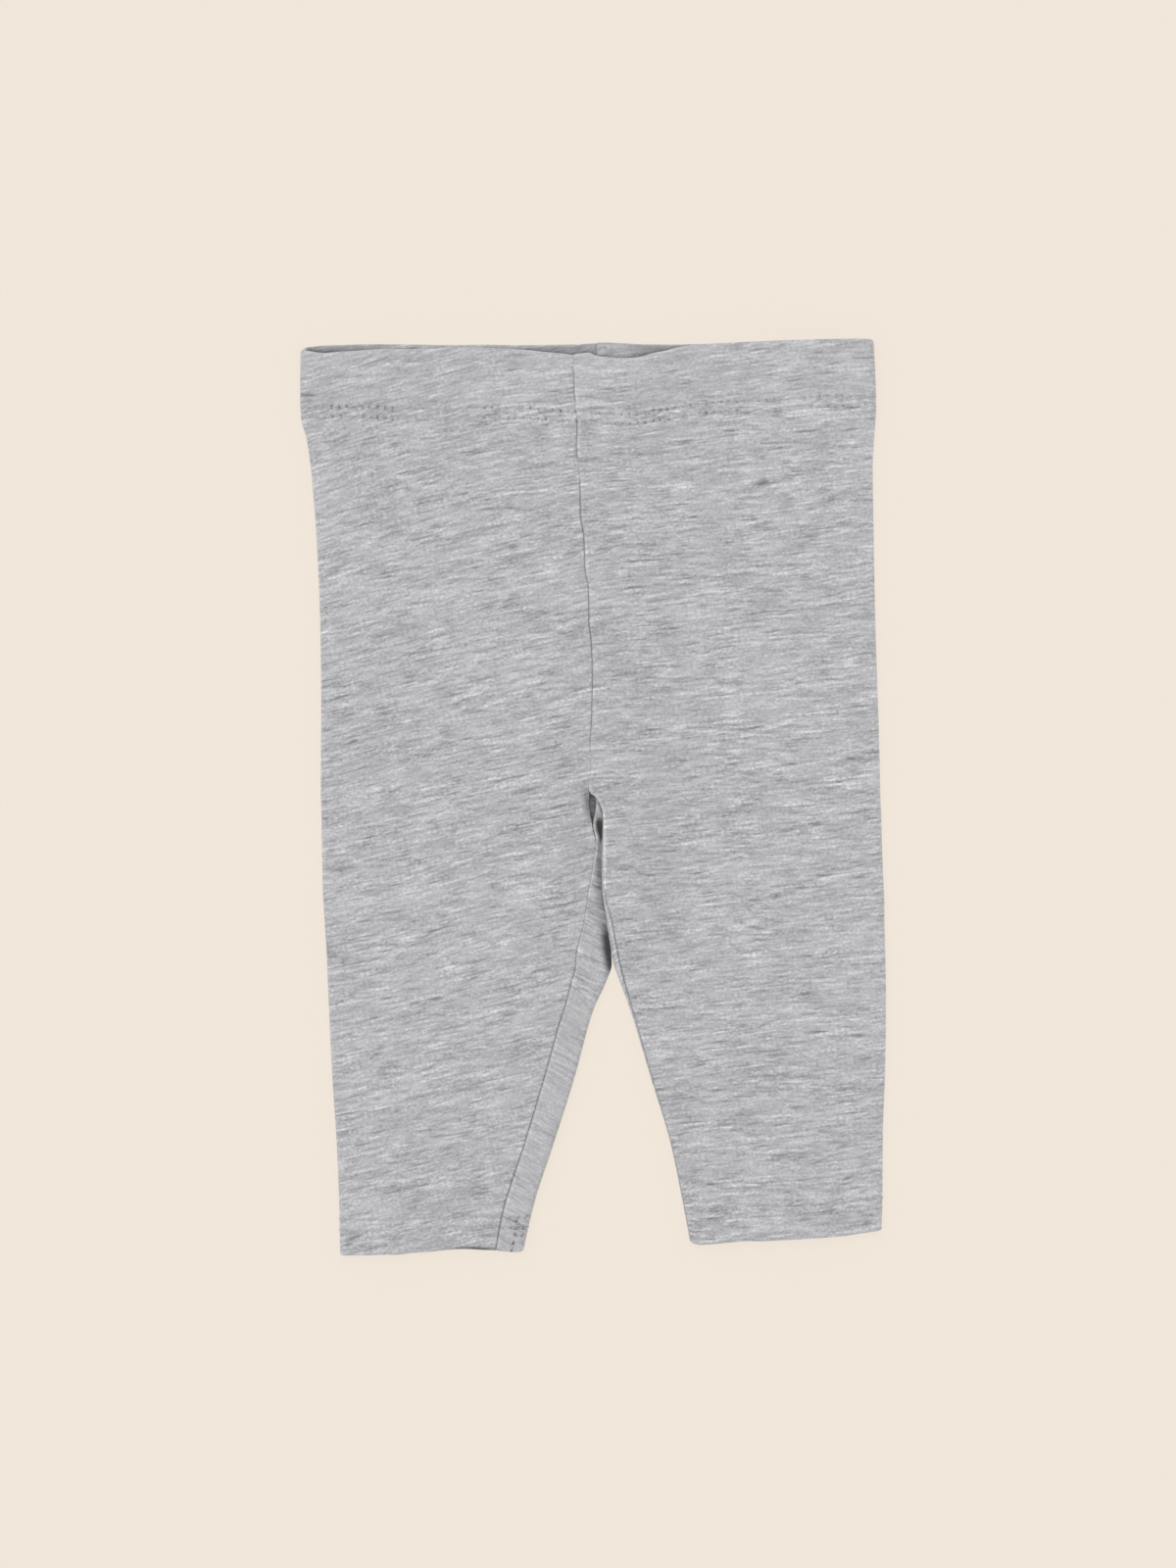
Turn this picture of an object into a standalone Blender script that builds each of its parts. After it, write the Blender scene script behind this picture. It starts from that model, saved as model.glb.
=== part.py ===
"""Baby leggings in grey marl jersey, laid flat with the front up.

Two pieces are cut, one for each leg. Each goes from the centre front seam round the side
to the centre back seam, and below the crotch it closes on itself along the inseam, so there
are no side seams. The tops are turned in over an elastic to make the waistband, and the leg
ends are turned up to make the hems. Left and right are the wearer's: the right leg is at -X.

A section is the path of the cloth's outer face at one level, from the front panel's edge,
over the front, round the side fold, along the flat underside and, below the crotch, round the
inner fold to the inseam. Solidify gives each sheet of sections its wall, inwards.

Lengths are in millimetres up to the moment a point is made, and the scene is in metres.
+X is the wearer's left, +Y is up the garment, +Z is out of the surface it lies on.
"""

import math
from collections import namedtuple

import bpy
from mathutils import Vector

MM = 0.001

# Walls
CLOTH_WALL = 1.0  # jersey, one layer
BAND_WALL = 2.4  # jersey, elastic and the turned-in jersey
HEM_WALL = 1.5  # jersey and the turned-up jersey
EDGE_ROUND = 0.3  # bevel on every cut or folded edge
EDGE_ANGLE = 60  # degrees between faces from which an edge gets it

# Depths of what is turned in and up
BAND_DEPTH = 26.0
HEM_DEPTH = 12.5

# Radius of a fold, which is half the height of the two layers lying on each other
BAND_FOLD = 2.75
LEG_FOLD = 1.8
HEM_FOLD = 2.3
BAND_EASE = 18.0  # length over which the band's height fades into the leg, from just
BAND_EASE_START = 24.0  # above the band's lower edge
HEM_EASE = 9.0

SEAM_GAP = 0.3  # between two pieces, and between the two edges of an inseam
FOLD_GAP = 0.8  # more where an inseam lies on a fold, so that it stays open right through
FOLD_GAP_REACH = 2.4  # and how far that goes from the fold, in radii
OPEN_GAP = 6.0  # more again in step with how far a back piece is from being fully turned
LOFT = 1.0  # how much the front lies above its folds, where it is furthest from them
LOFT_REACH = 26.0  # distance from a fold at which the front has its full loft

# From the waist down to the crotch both legs share the centre seams.
# y and x at the right side, y and both seams' x at the centre, y and x at the left side.
Body = namedtuple("Body", "level y_right x_right y_centre x_front x_back y_left x_left")
BODY = (
    Body(0.0, 164.4, -107.3, 166.2, -7.0, 1.3, 167.9, 103.4),
    Body(16.0, 148.2, -107.5, 150.0, -6.6, 1.3, 152.3, 104.2),
    Body(26.0, 138.3, -107.1, 140.0, -5.8, 1.4, 142.9, 103.9),
    Body(32.5, 132.0, -105.3, 133.5, -5.6, 1.4, 136.0, 103.4),
    Body(45.5, 119.6, -103.5, 120.5, -5.0, 1.5, 122.0, 103.2),
    Body(75.0, 91.0, -101.3, 91.0, -2.8, 1.6, 91.0, 103.5),
    Body(104.0, 62.0, -99.9, 62.0, -0.8, 1.8, 62.0, 104.0),
    Body(132.5, 33.5, -99.5, 33.5, -0.3, 2.0, 33.5, 104.9),
    Body(150.5, 15.5, -99.5, 15.5, -0.9, 2.1, 15.5, 105.3),
    Body(161.5, 4.5, -99.5, 4.5, -1.5, 2.2, 4.5, 105.7),
)

# From the crotch down each leg has its own rows. x_inner is the inner fold, seam_in is where
# the inseam lies from it (+ on the front, - round it on the back), and turn says how far the
# back piece has come round the inner fold to meet the front: 0 not at all, 1 all the way.
Leg = namedtuple("Leg", "level y_side x_side y_inner x_inner seam_in turn")
RIGHT_LEG = (
    Leg(165.0, 1.0, -99.5, 1.0, 2.2, 3.9, 0.45),
    Leg(168.5, -2.5, -99.5, -2.5, 2.2, 3.5, 0.55),
    Leg(175.5, -9.5, -99.5, -9.5, 2.3, 2.7, 0.70),
    Leg(180.5, -14.5, -99.5, -14.5, 2.5, 1.7, 0.92),
    Leg(184.5, -18.5, -99.4, -18.5, 2.7, 1.3, 1.0),
    Leg(197.5, -31.5, -99.2, -31.5, 3.2, 4.0, 1.0),
    Leg(211.5, -45.5, -98.5, -45.5, 5.2, 8.2, 1.0),
    Leg(227.5, -61.5, -97.4, -61.5, 7.2, 13.4, 1.0),
    Leg(233.5, -67.5, -97.1, -67.5, 5.2, 12.8, 1.0),
    Leg(244.5, -78.5, -96.7, -78.5, 0.4, 10.7, 1.0),
    Leg(269.5, -103.5, -95.6, -103.5, -6.8, 10.7, 1.0),
    Leg(294.5, -128.8, -94.0, -128.5, -14.8, 10.1, 1.0),
    Leg(316.0, -150.8, -93.1, -150.0, -21.8, 10.1, 1.0),
    Leg(333.0, -168.3, -92.3, -167.0, -26.1, 9.2, 1.0),
)
LEFT_LEG = (
    Leg(165.0, 1.0, 105.8, 1.0, 2.2, -1.2, 0.05),
    Leg(168.5, -2.5, 105.9, -2.5, 2.2, 0.5, 0.15),
    Leg(175.5, -9.5, 106.2, -9.5, 2.3, 1.5, 0.45),
    Leg(184.5, -18.5, 106.6, -18.5, 2.7, 1.3, 0.75),
    Leg(190.0, -24.0, 106.8, -24.0, 2.9, 1.0, 1.0),
    Leg(197.5, -31.5, 107.1, -31.5, 3.2, 0.8, 1.0),
    Leg(211.5, -45.2, 107.5, -45.5, 5.2, 1.9, 1.0),
    Leg(227.5, -60.8, 107.8, -61.5, 7.8, 2.4, 1.0),
    Leg(233.5, -66.5, 107.9, -67.5, 9.9, 1.8, 1.0),
    Leg(244.5, -77.0, 107.9, -78.5, 13.8, 0.9, 1.0),
    Leg(269.5, -101.0, 107.6, -103.5, 21.5, 0.4, 1.0),
    Leg(294.5, -124.8, 106.9, -128.5, 28.6, 0.2, 1.0),
    Leg(316.0, -145.4, 106.6, -150.0, 33.1, 0.2, 1.0),
    Leg(331.0, -159.6, 106.1, -164.8, 36.0, 0.2, 1.0),
)

# The waist edge across the garment: how far it rises over the line between its corners, and
# how far the front one hangs below the back one
Waist = namedtuple("Waist", "x rise drop")
WAIST = (
    Waist(-107.5, 0.2, 0.6),
    Waist(-98.0, 1.5, 2.9),
    Waist(-91.0, 1.4, 2.5),
    Waist(-79.0, 1.2, 0.7),
    Waist(-70.0, 1.0, 0.3),
    Waist(-35.0, 0.5, 0.3),
    Waist(-23.0, 0.3, 2.3),
    Waist(-13.0, 0.1, 3.4),
    Waist(-3.0, 0.1, 3.7),
    Waist(3.0, 0.3, 4.8),
    Waist(12.0, -0.2, 5.3),
    Waist(21.0, -0.3, 4.0),
    Waist(29.0, -0.3, 1.9),
    Waist(42.0, -0.1, 0.4),
    Waist(73.0, 0.7, 0.0),
    Waist(104.0, 0.1, 0.0),
)
RISE_DEPTH = 60.0  # depth below the waist over which the rise dies away
DROP_DEPTH = 36.0  # and the front's drop

# The right hem's front edge arches up over its back edge
HEM_LIFT = 1.0
HEM_LIFT_AT = -45.0
HEM_LIFT_HALF = 26.0

# Soft folds on the front: middle, direction, half length and half width, and height
Fold = namedtuple("Fold", "x y angle half_length half_width height")
FOLDS = (
    Fold(6.0, 130.5, 0, 24.0, 4.5, 0.5),  # cloth bunched under the sagging band
    Fold(8.0, 122.5, -4, 26.0, 5.0, -0.5),
    Fold(11.0, 86.0, 92, 48.0, 5.0, -0.45),  # beside the centre front seam
    Fold(8.5, -13.0, 88, 22.0, 4.0, 0.5),  # rim of the crotch opening
    Fold(21.5, -22.0, 96, 34.0, 6.5, -0.8),  # and the trough beside it
    Fold(-6.0, 3.0, 86, 15.0, 4.5, -0.6),
    Fold(-17.5, 9.0, 150, 20.0, 5.0, 0.35),  # drags from the crotch
    Fold(-18.0, -101.0, 71, 27.0, 4.0, -0.4),
    Fold(36.0, -134.0, 108, 26.0, 7.0, -0.4),
    Fold(-62.0, -40.0, 100, 46.0, 12.0, -0.3),
    Fold(70.0, -60.0, 84, 50.0, 13.0, -0.3),
)

# Columns of each sheet, from the front edge to the back edge, and the distance between rows
EDGE_ZONE = 7.6  # least length of cloth beside each edge that gets columns of its own
EDGE_STRIP = 1.0  # and the least right at the back edge
CROWDING = 1.3  # power that draws columns towards the front edge
COLUMN_STEPS = (6, 8, 5, 4, 6, 2)  # beside the edge, front, fold, underside, inner fold, strip
BAND_STEP = 9.0
LEG_STEP = 13.0
CROTCH_STEP = 6.0  # between the levels CROTCH_TOP and CROTCH_END
CROTCH_TOP = 155.0
CROTCH_END = 250.0
HEM_STEP = 6.5
LEAST_STEP = 1.5

JERSEY_GREY = (0.47, 0.47, 0.485, 1.0)
JERSEY_ROUGHNESS = 0.9

# Sides, as the sign of x
RIGHT = -1
LEFT = 1
CLOSED = 0.999  # a turn from which a section counts as closed


def smooth(t):
    """0 to 1 with level ends."""
    t = max(0.0, min(1.0, t))
    return t * t * (3 - 2 * t)


def along(xs, ys, x):
    """A curve through (xs, ys) at x that never overshoots its points."""
    x = max(xs[0], min(xs[-1], x))
    i = max(k for k in range(len(xs) - 1) if xs[k] <= x)

    def slope(k):
        return (ys[k + 1] - ys[k]) / (xs[k + 1] - xs[k])

    def tangent(k):
        if k in (0, len(xs) - 1):
            return slope(min(k, len(xs) - 2))
        before, after = slope(k - 1), slope(k)
        return 0.0 if before * after <= 0 else 2 * before * after / (before + after)

    step = xs[i + 1] - xs[i]
    t = (x - xs[i]) / step
    ease = t * t * (3 - 2 * t)
    leave, arrive = t * (1 - t) ** 2, t * t * (t - 1)
    return (
        ys[i] * (1 - ease)
        + ys[i + 1] * ease
        + step * (leave * tangent(i) + arrive * tangent(i + 1))
    )


def rows_of(side, leg_rows):
    """One leg's rows from the waist to the hem, its body rows taken from the shared ones."""
    rows = []
    for b in BODY:
        y_side, x_side = (b.y_right, b.x_right) if side == RIGHT else (b.y_left, b.x_left)
        front_edge = side * (b.x_front - b.x_back)
        rows.append(Leg(b.level, y_side, x_side, b.y_centre, b.x_back, front_edge, 0.0))
    return rows + list(leg_rows)


def row_at(rows, level):
    """The row at any level, read from the smooth curves through the stated ones."""
    levels = [row.level for row in rows]
    columns = zip(*rows)
    return Leg(*(along(levels, column, level) for column in columns))


def hem_level(rows):
    return rows[-1].level


def fold_radius(rows, level):
    """Half the height of the two layers: most at the waistband, more at the hem than between."""
    band = 1 - smooth((level - BAND_EASE_START) / BAND_EASE)
    hem = smooth((level - hem_level(rows) + HEM_DEPTH + HEM_EASE) / HEM_EASE)
    return LEG_FOLD + (BAND_FOLD - LEG_FOLD) * band + (HEM_FOLD - LEG_FOLD) * hem


def tube_point(c, radius, flat):
    """A closed section at distance c from its innermost point, over the front.

    Gives the distance from that innermost point towards the side, and the height.
    """
    quarter, half = math.pi * radius / 2, math.pi * radius
    c %= 2 * flat + 4 * quarter
    if c < quarter:
        angle = c / radius
        return radius * (1 - math.cos(angle)), radius * (1 + math.sin(angle))
    c -= quarter
    if c < flat:
        return radius + c, 2 * radius
    c -= flat
    if c < half:
        angle = c / radius
        return radius + flat + radius * math.sin(angle), radius * (1 + math.cos(angle))
    c -= half
    if c < flat:
        return radius + flat - c, 0.0
    angle = (c - flat) / radius
    return radius * (1 - math.sin(angle)), radius * (1 - math.cos(angle))


def seam_distance(seam_in, radius):
    """The inseam's distance from the innermost point, measured along the cloth."""
    on_fold = radius * math.acos(1 - min(abs(seam_in), radius) / radius)
    return math.copysign(on_fold + max(abs(seam_in) - radius, 0.0), seam_in)


def section(row, radius, width):
    """One section as a function of the distance from the front edge, and its landmarks.

    The landmarks are where the side fold and the inner fold each start and end, and the
    whole length.
    """
    flat = width - 2 * radius
    quarter = math.pi * radius / 2
    start = seam_distance(row.seam_in, radius)
    on_fold = smooth(FOLD_GAP_REACH - abs(row.seam_in) / radius)
    gap = SEAM_GAP + FOLD_GAP * on_fold + OPEN_GAP * (1 - row.turn)
    closed_turn = max(0.0, math.pi - max(0.0, quarter - start + gap) / radius)
    strip = max(0.0, start - quarter - gap)

    if row.turn > CLOSED:
        length = 2 * flat + 4 * quarter - gap
        fold_start = quarter + flat - start
        fold_end = fold_start + 2 * quarter
        inner_start = length - max(EDGE_ZONE, closed_turn * radius + strip)
        inner_end = length - max(strip, EDGE_STRIP)
        return (
            lambda s: tube_point(start + s, radius, flat),
            (fold_start, fold_end, inner_start, inner_end, length),
        )

    # Open: the front runs flat to its edge, and the back ends on the underside or part of
    # the way round the inner fold.
    turn = row.turn * closed_turn
    curl = radius + row.turn * (closed_turn * radius - radius)
    curl_radius = curl / turn if turn else math.inf
    curl_start = curl_radius * math.sin(min(turn, math.pi / 2)) if turn else curl
    fold_start = width - radius - row.seam_in
    fold_end = fold_start + 2 * quarter
    curl_at = fold_end + width - radius - curl_start
    strip *= row.turn
    length = curl_at + curl + strip

    def point(s):
        if s < fold_start:
            return row.seam_in + s, 2 * radius
        if s < fold_end:
            angle = (s - fold_start) / radius
            return width - radius + radius * math.sin(angle), radius * (1 + math.cos(angle))
        if s < curl_at or not turn:
            return width - radius - (s - fold_end), 0.0
        angle = min((s - curl_at) / curl_radius, turn)
        past = max(0.0, s - curl_at - curl)
        return (
            curl_start - curl_radius * math.sin(angle) - past * math.cos(angle),
            curl_radius * (1 - math.cos(angle)) + past * math.sin(angle),
        )

    inner_start = length - max(EDGE_ZONE, curl + strip)
    inner_end = length - max(strip, EDGE_STRIP)
    return point, (fold_start, fold_end, inner_start, inner_end, length)


def columns(landmarks):
    """Distances along a section, closer together at its edges and folds."""
    fold_start, fold_end, inner_start, inner_end, length = landmarks
    stops = (0.0, EDGE_ZONE, fold_start, fold_end, inner_start, inner_end, length)
    places = [0.0]
    for begin, end, count in zip(stops, stops[1:], COLUMN_STEPS):
        power = CROWDING if begin == 0.0 else 1.0
        places += [begin + (end - begin) * ((k + 1) / count) ** power for k in range(count)]
    return places


def fold_height(x, y):
    """The soft folds' height at a place on the front."""
    height = 0.0
    for fold in FOLDS:
        turn = math.radians(fold.angle)
        dx, dy = x - fold.x, y - fold.y
        lengthwise = (dx * math.cos(turn) + dy * math.sin(turn)) / fold.half_length
        across = (dy * math.cos(turn) - dx * math.sin(turn)) / fold.half_width
        if abs(lengthwise) < 1:
            height += fold.height * (1 - lengthwise**2) ** 2 * math.exp(-(across**2))
    return height


def waist_shift(x, level, front):
    """How far the waist's own line moves a place up or down. front is 1 there, 0 on the back."""
    places, rises, drops = zip(*WAIST)
    rise = along(places, rises, x) * math.exp(-((level / RISE_DEPTH) ** 2))
    drop = along(places, drops, x) * math.exp(-((level / DROP_DEPTH) ** 2))
    return rise - front * drop


def hem_lift(side, x, from_hem):
    """The arch of the right hem's front edge."""
    if side == LEFT:
        return 0.0
    across = 1 - min(1.0, abs(x - HEM_LIFT_AT) / HEM_LIFT_HALF) ** 2
    return HEM_LIFT * across * max(0.0, 1 - from_hem / (2 * HEM_DEPTH))


def cloth_points(side, rows, level):
    """One row of points of a sheet, from its front edge to its back edge."""
    row = row_at(rows, level)
    radius = fold_radius(rows, level)
    x_inner = row.x_inner + side * SEAM_GAP / 2
    width = abs(row.x_side - x_inner)
    point, landmarks = section(row, radius, width)
    places = []
    for s in columns(landmarks):
        offset, height = point(s)
        x = x_inner + side * offset
        y = row.y_inner + (row.y_side - row.y_inner) * offset / width
        front = smooth(height / (2 * radius))
        y += waist_shift(x, level, front)
        y += front * hem_lift(side, x, hem_level(rows) - level)
        upper = max(0.0, height / radius - 1)
        from_fold = min(width - offset, offset if row.turn > CLOSED else width)
        rise = LOFT * smooth(from_fold / LOFT_REACH) + fold_height(x, y)
        places.append(Vector((x, y, height + upper * rise)) * MM)
    return places


def levels_between(rows, top, bottom, step):
    """Levels of a sheet's rows: every stated one that falls between its ends, and more."""
    first, last = top + LEAST_STEP, bottom - LEAST_STEP
    stops = [top] + [row.level for row in rows if first < row.level < last] + [bottom]
    levels = [top]
    for begin, end in zip(stops, stops[1:]):
        in_crotch = begin >= CROTCH_TOP and end <= CROTCH_END
        count = max(1, round((end - begin) / (CROTCH_STEP if in_crotch else step)))
        levels += [begin + (end - begin) * (k + 1) / count for k in range(count)]
    return levels


def jersey(name):
    material = bpy.data.materials.new(name)
    material.use_nodes = True
    shader = material.node_tree.nodes["Principled BSDF"]
    shader.inputs["Base Color"].default_value = JERSEY_GREY
    shader.inputs["Roughness"].default_value = JERSEY_ROUGHNESS
    shader.inputs["Metallic"].default_value = 0.0
    material.diffuse_color = JERSEY_GREY
    return material


def sheet(collection, name, point_rows, wall, side):
    """A cloth sheet lofted through rows of points, with its wall laid on inwards."""
    across = len(point_rows[0])
    points = [p for row in point_rows for p in row]
    faces = []
    for r in range(len(point_rows) - 1):
        for c in range(across - 1):
            a = r * across + c
            face = (a, a + 1, a + across + 1, a + across)
            faces.append(face if side == RIGHT else face[::-1])
    mesh = bpy.data.meshes.new(name)
    mesh.from_pydata(points, [], faces)
    mesh.shade_smooth()
    mesh.materials.append(jersey(name))
    cloth = bpy.data.objects.new(name, mesh)
    collection.objects.link(cloth)

    solidify = cloth.modifiers.new("wall", "SOLIDIFY")
    solidify.thickness = wall * MM
    solidify.offset = -1
    solidify.use_even_offset = False

    bevel = cloth.modifiers.new("edges", "BEVEL")
    bevel.width = EDGE_ROUND * MM
    bevel.segments = 1
    bevel.limit_method = "ANGLE"
    bevel.angle_limit = math.radians(EDGE_ANGLE)


def leg_pieces(collection, name, side, rows):
    """The waistband, leg and hem of one side, parted by the seam gap at their stitching."""
    hem_top = hem_level(rows) - HEM_DEPTH
    parts = (
        ("waistband", 0.0, BAND_DEPTH - SEAM_GAP / 2, BAND_WALL, BAND_STEP),
        ("leg", BAND_DEPTH + SEAM_GAP / 2, hem_top - SEAM_GAP / 2, CLOTH_WALL, LEG_STEP),
        ("hem", hem_top + SEAM_GAP / 2, hem_level(rows), HEM_WALL, HEM_STEP),
    )
    for part, top, bottom, wall, step in parts:
        point_rows = [
            cloth_points(side, rows, level)
            for level in levels_between(rows, top, bottom, step)
        ]
        sheet(collection, f"{name}_{part}", point_rows, wall, side)


def main():
    for old in list(bpy.data.objects):
        bpy.data.objects.remove(old)
    leggings = bpy.data.collections.new("leggings")
    bpy.context.scene.collection.children.link(leggings)
    leg_pieces(leggings, "right", RIGHT, rows_of(RIGHT, RIGHT_LEG))
    leg_pieces(leggings, "left", LEFT, rows_of(LEFT, LEFT_LEG))


main()
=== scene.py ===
import math
from collections import namedtuple

import bpy
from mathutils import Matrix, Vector, noise


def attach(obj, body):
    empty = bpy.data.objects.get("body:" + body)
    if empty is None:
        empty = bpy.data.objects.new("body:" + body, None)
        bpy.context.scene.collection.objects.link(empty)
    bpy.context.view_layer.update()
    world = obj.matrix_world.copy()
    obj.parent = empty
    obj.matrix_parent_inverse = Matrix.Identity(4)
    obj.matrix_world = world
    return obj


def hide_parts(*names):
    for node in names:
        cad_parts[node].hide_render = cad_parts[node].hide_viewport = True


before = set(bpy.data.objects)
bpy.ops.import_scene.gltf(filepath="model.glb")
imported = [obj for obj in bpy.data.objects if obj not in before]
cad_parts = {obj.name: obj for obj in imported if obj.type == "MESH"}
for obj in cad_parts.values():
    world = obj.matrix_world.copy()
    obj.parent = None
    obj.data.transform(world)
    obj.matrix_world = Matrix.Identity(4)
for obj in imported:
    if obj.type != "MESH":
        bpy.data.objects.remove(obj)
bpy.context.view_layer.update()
print("frame loaded:", ", ".join(sorted(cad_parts)))

# Lengths are in millimetres until a point goes into a mesh. Left and right are the wearer's.
mm = 0.001
right, left = -1, 1
closed = 0.999  # a back piece that has turned over this far closes its leg to a tube

cloth = {
    "wall": 1,
    "foldRadius": 1.8,
    "seamGap": 0.02,
    "openGap": 6,  # how far a back piece stays from the front one before it has turned over
    "loft": 1,
    "loftReach": 26,
    "shoulder": 0.5,  # radius of the rounding where cloth turns down into a seam
    "leastShoulder": 0.1,
    "rim": 0.14,  # ridge beside a seam, from the allowance that lies under it
    "rimHalf": 0.55,
    "rimAt": 0.9,
    "rimSpread": (0.2, 0.9),
    # the half width of a seam line's painted shade
    "lineHalf": 0.36,
    "ripple": 0.1,
    "swell": 0.22,
    # size, stretch across the courses and seed
    "rippleNoise": (9, 0.7, 3.1),
    "swellNoise": (27, 0.6, 7.7),
    "dipInCut": 0.6,
    "bendFrom": 60,  # where the bend of the courses begins to fade, and over what length
    "bendFade": 120,
    "paintedFoldLight": {right: 0.2, left: 3.6},  # how much lighter the side folds are painted, a painted highlight
    "paintedFoldLightHalf": 1.6,
    "paintedSlitLight": 3.6,  # the same painted highlight along the left leg's front edge at the crotch
    "paintedSlitLightAt": 0.8,
    "paintedSlitLightHalf": 0.5,
    "calmBehind": 0.38,  # how much weaker the marl is on the strip behind the inseam
    "calmStart": 222,
    "calmEase": 25,
    "inside": 1.3,  # how dark the legs' inner face is painted: mostly painted shade, with a little of the purl side's own darker tone
    # the most painted shade that a hollow gets
    "darkest": 0.95,
}
# turnIn is the length of cloth that the fold at the edge takes up
band = {
    "depth": 26,
    "wall": 2.4,
    "foldRadius": 2.75,
    "ease": 18,
    "easeStart": 24,
    "turnIn": 2,
    # A painted shadow line on the inner face behind the front edge, and a painted highlight along
    # the top edge
    "insideLine": 1,
    "insideHalf": 0.75,
    "insideEase": 2.2,
    "edgeLight": 0.9,
    "edgeLightAt": 0.9,
    "edgeLightHalf": 0.45,
    "calm": 0.16,
}
# The hem's last two values are a painted highlight along its folded edge and that highlight's half
# width
hem = {"depth": 12.5, "wall": 1.5, "foldRadius": 2.3, "ease": 9, "turnIn": 1,
       "wear": 1, "paintedLightAndMarksHalf": 0.45}
# x, the hem edge's rise over the straight line between its corners, and how much higher still
# the front's edge lies
hemLine = (
    (-92, -0.3, 0), (-84, -0.35, 0), (-76, -0.25, 0), (-72, -0.35, 0), (-66, 0.3, 0),
    (-62, 0.45, 0), (-55, 0.85, 0.15), (-50, 1.1, 0.3), (-45, 0.8, 0.45), (-41, 0.4, 0.55),
    (-35.5, 0.1, 0.55), (-32.5, -0.05, 0.1), (-28, -0.35, 0), (35.4, 1.3, 0), (36.4, 0.7, 0),
    (37.8, 0.15, 0), (40, -0.2, 0), (47, -0.1, 0.05), (56, 0.1, 0.1), (62, -0.3, 0),
    (76, -0.2, -0.4), (84, 0, -0.7), (92, 0.1, -0.8), (99, 0.4, -0.6), (106, 0.2, 0),
)

# turn is the share of its way that the back piece has turned over, and apart is how far it then
# stays from the front one
Row = namedtuple("Row", "level ySide xSide yInner xInner seamIn turn apart", defaults=(1, 0))

# level, then y and x at the right side, y and the back seam's x at the centre, y and x at the left
bodyRows = (
    (0, 164.4, -107.3, 166.2, 1.3, 167.9, 103.4),
    (16, 148.2, -107.5, 150, 1.3, 152.3, 104.2),
    (26, 138.3, -107.1, 140, 1.4, 142.9, 104.4),
    (32.5, 132, -105.3, 133.5, 1.4, 136, 104),
    (45.5, 119.6, -103.5, 120.5, 1.5, 122, 103.2),
    (75, 91, -101.3, 91, 1.6, 91, 103.6),
    (104, 62, -100.1, 62, 1.8, 62, 104.2),
    (132.5, 33.5, -99.8, 33.5, 2, 33.5, 105.15),
    (150.5, 15.5, -99.9, 15.5, 2.1, 15.5, 105.7),
    (161.5, 4.5, -99.9, 4.5, 2.2, 4.5, 105.9),
)
# level and x of the seam in front
frontSeam = (
    (0, -7.2), (6.5, -7), (14.4, -6.7), (18.8, -6.3), (25.2, -5.8), (29.2, -5.6), (36, -5.9),
    (50.1, -4.6), (62, -4.4), (71, -3.1), (82.5, -2.7), (89.3, -1.5), (103, -1.2), (108.4, -0.5),
    (120.3, 0), (137.9, -0.3), (148, -0.9), (152.3, -0.5), (161.5, -1.4),
)
rightLegRows = (
    (163.2, 2.8, -99.9, 2.8, 2.2, 3.6, 0.45),
    (166, 0, -99.9, 0, 2.6, 3.9, 0.9, 2.9),
    (168.5, -2.5, -99.8, -2.5, 3.1, 4.4, 1, 2.7),
    (172, -6, -99.7, -6, 3.7, 4.6, 1, 1.9),
    (175.5, -9.5, -99.6, -9.5, 3.9, 4.1, 1, 0.55),
    (178, -12, -99.6, -12, 3.8, 3.6, 1, 0.4),
    (180.5, -14.5, -99.6, -14.5, 3.7, 2.8, 1, 0.35),
    (182.5, -16.5, -99.5, -16.5, 3.6, 2.25, 1, 0.15),
    (184.5, -18.5, -99.5, -18.5, 3.55, 2.15),
    (190, -24, -99.4, -24, 3.5, 3.05),
    (197.5, -31.5, -99.3, -31.5, 3.5, 4.3),
    (211.5, -45.5, -98.6, -45.5, 5.2, 8.2),
    (227.5, -61.5, -97.6, -61.5, 7.2, 13.4),
    (233.5, -67.5, -97.4, -67.5, 5.3, 12.9),
    (244.5, -78.5, -96.9, -78.5, 0.4, 11),
    (269.5, -103.5, -95.7, -103.5, -6.6, 11.2),
    (294.5, -128.8, -94, -128.5, -14.5, 10.8),
    (316, -150.8, -93.1, -150, -21.5, 10.8),
    (333, -168.3, -92.8, -167, -25.5, 10.1),
)
leftLegRows = (
    (163.2, 2.8, 105.95, 2.8, 2.2, -3.5, 0.1),
    (164.8, 1.2, 105.95, 1.2, 2.4, -3.1, 0.2),
    (165.8, 0.2, 106, 0.2, 2.6, -1.7, 0.4),
    (167.2, -1.2, 106, -1.2, 2.85, -1.2, 0.6),
    (168.5, -2.5, 106.05, -2.5, 3.1, -0.5, 0.8),
    (172, -6, 106.3, -6, 3.7, 0.1),
    (175.5, -9.5, 106.4, -9.5, 3.9, 0.15),
    (180.5, -14.5, 106.5, -14.5, 3.7, 0.25),
    (184.5, -18.5, 106.6, -18.5, 3.55, 0.3),
    (190, -24, 106.8, -24, 3.5, 0.35),
    (197.5, -31.5, 107.1, -31.5, 3.5, 0.4),
    (203, -37, 107.4, -37, 3.9, 0.9),
    (211.5, -45.2, 107.5, -45.5, 5.2, 1.9),
    (227.5, -60.8, 107.85, -61.5, 7.8, 2.4),
    (233.5, -66.5, 108, -67.5, 9.9, 1.8),
    (244.5, -77, 108.05, -78.5, 13.9, 0.9),
    (269.5, -101, 107.7, -103.5, 21.6, 0.4),
    (294.5, -124.8, 106.9, -128.5, 29.1, 0.2),
    (316, -145.4, 106.75, -150, 33.4, 0.2),
    (331, -159.6, 106.4, -164.8, 36, 0.2),
)

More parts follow.
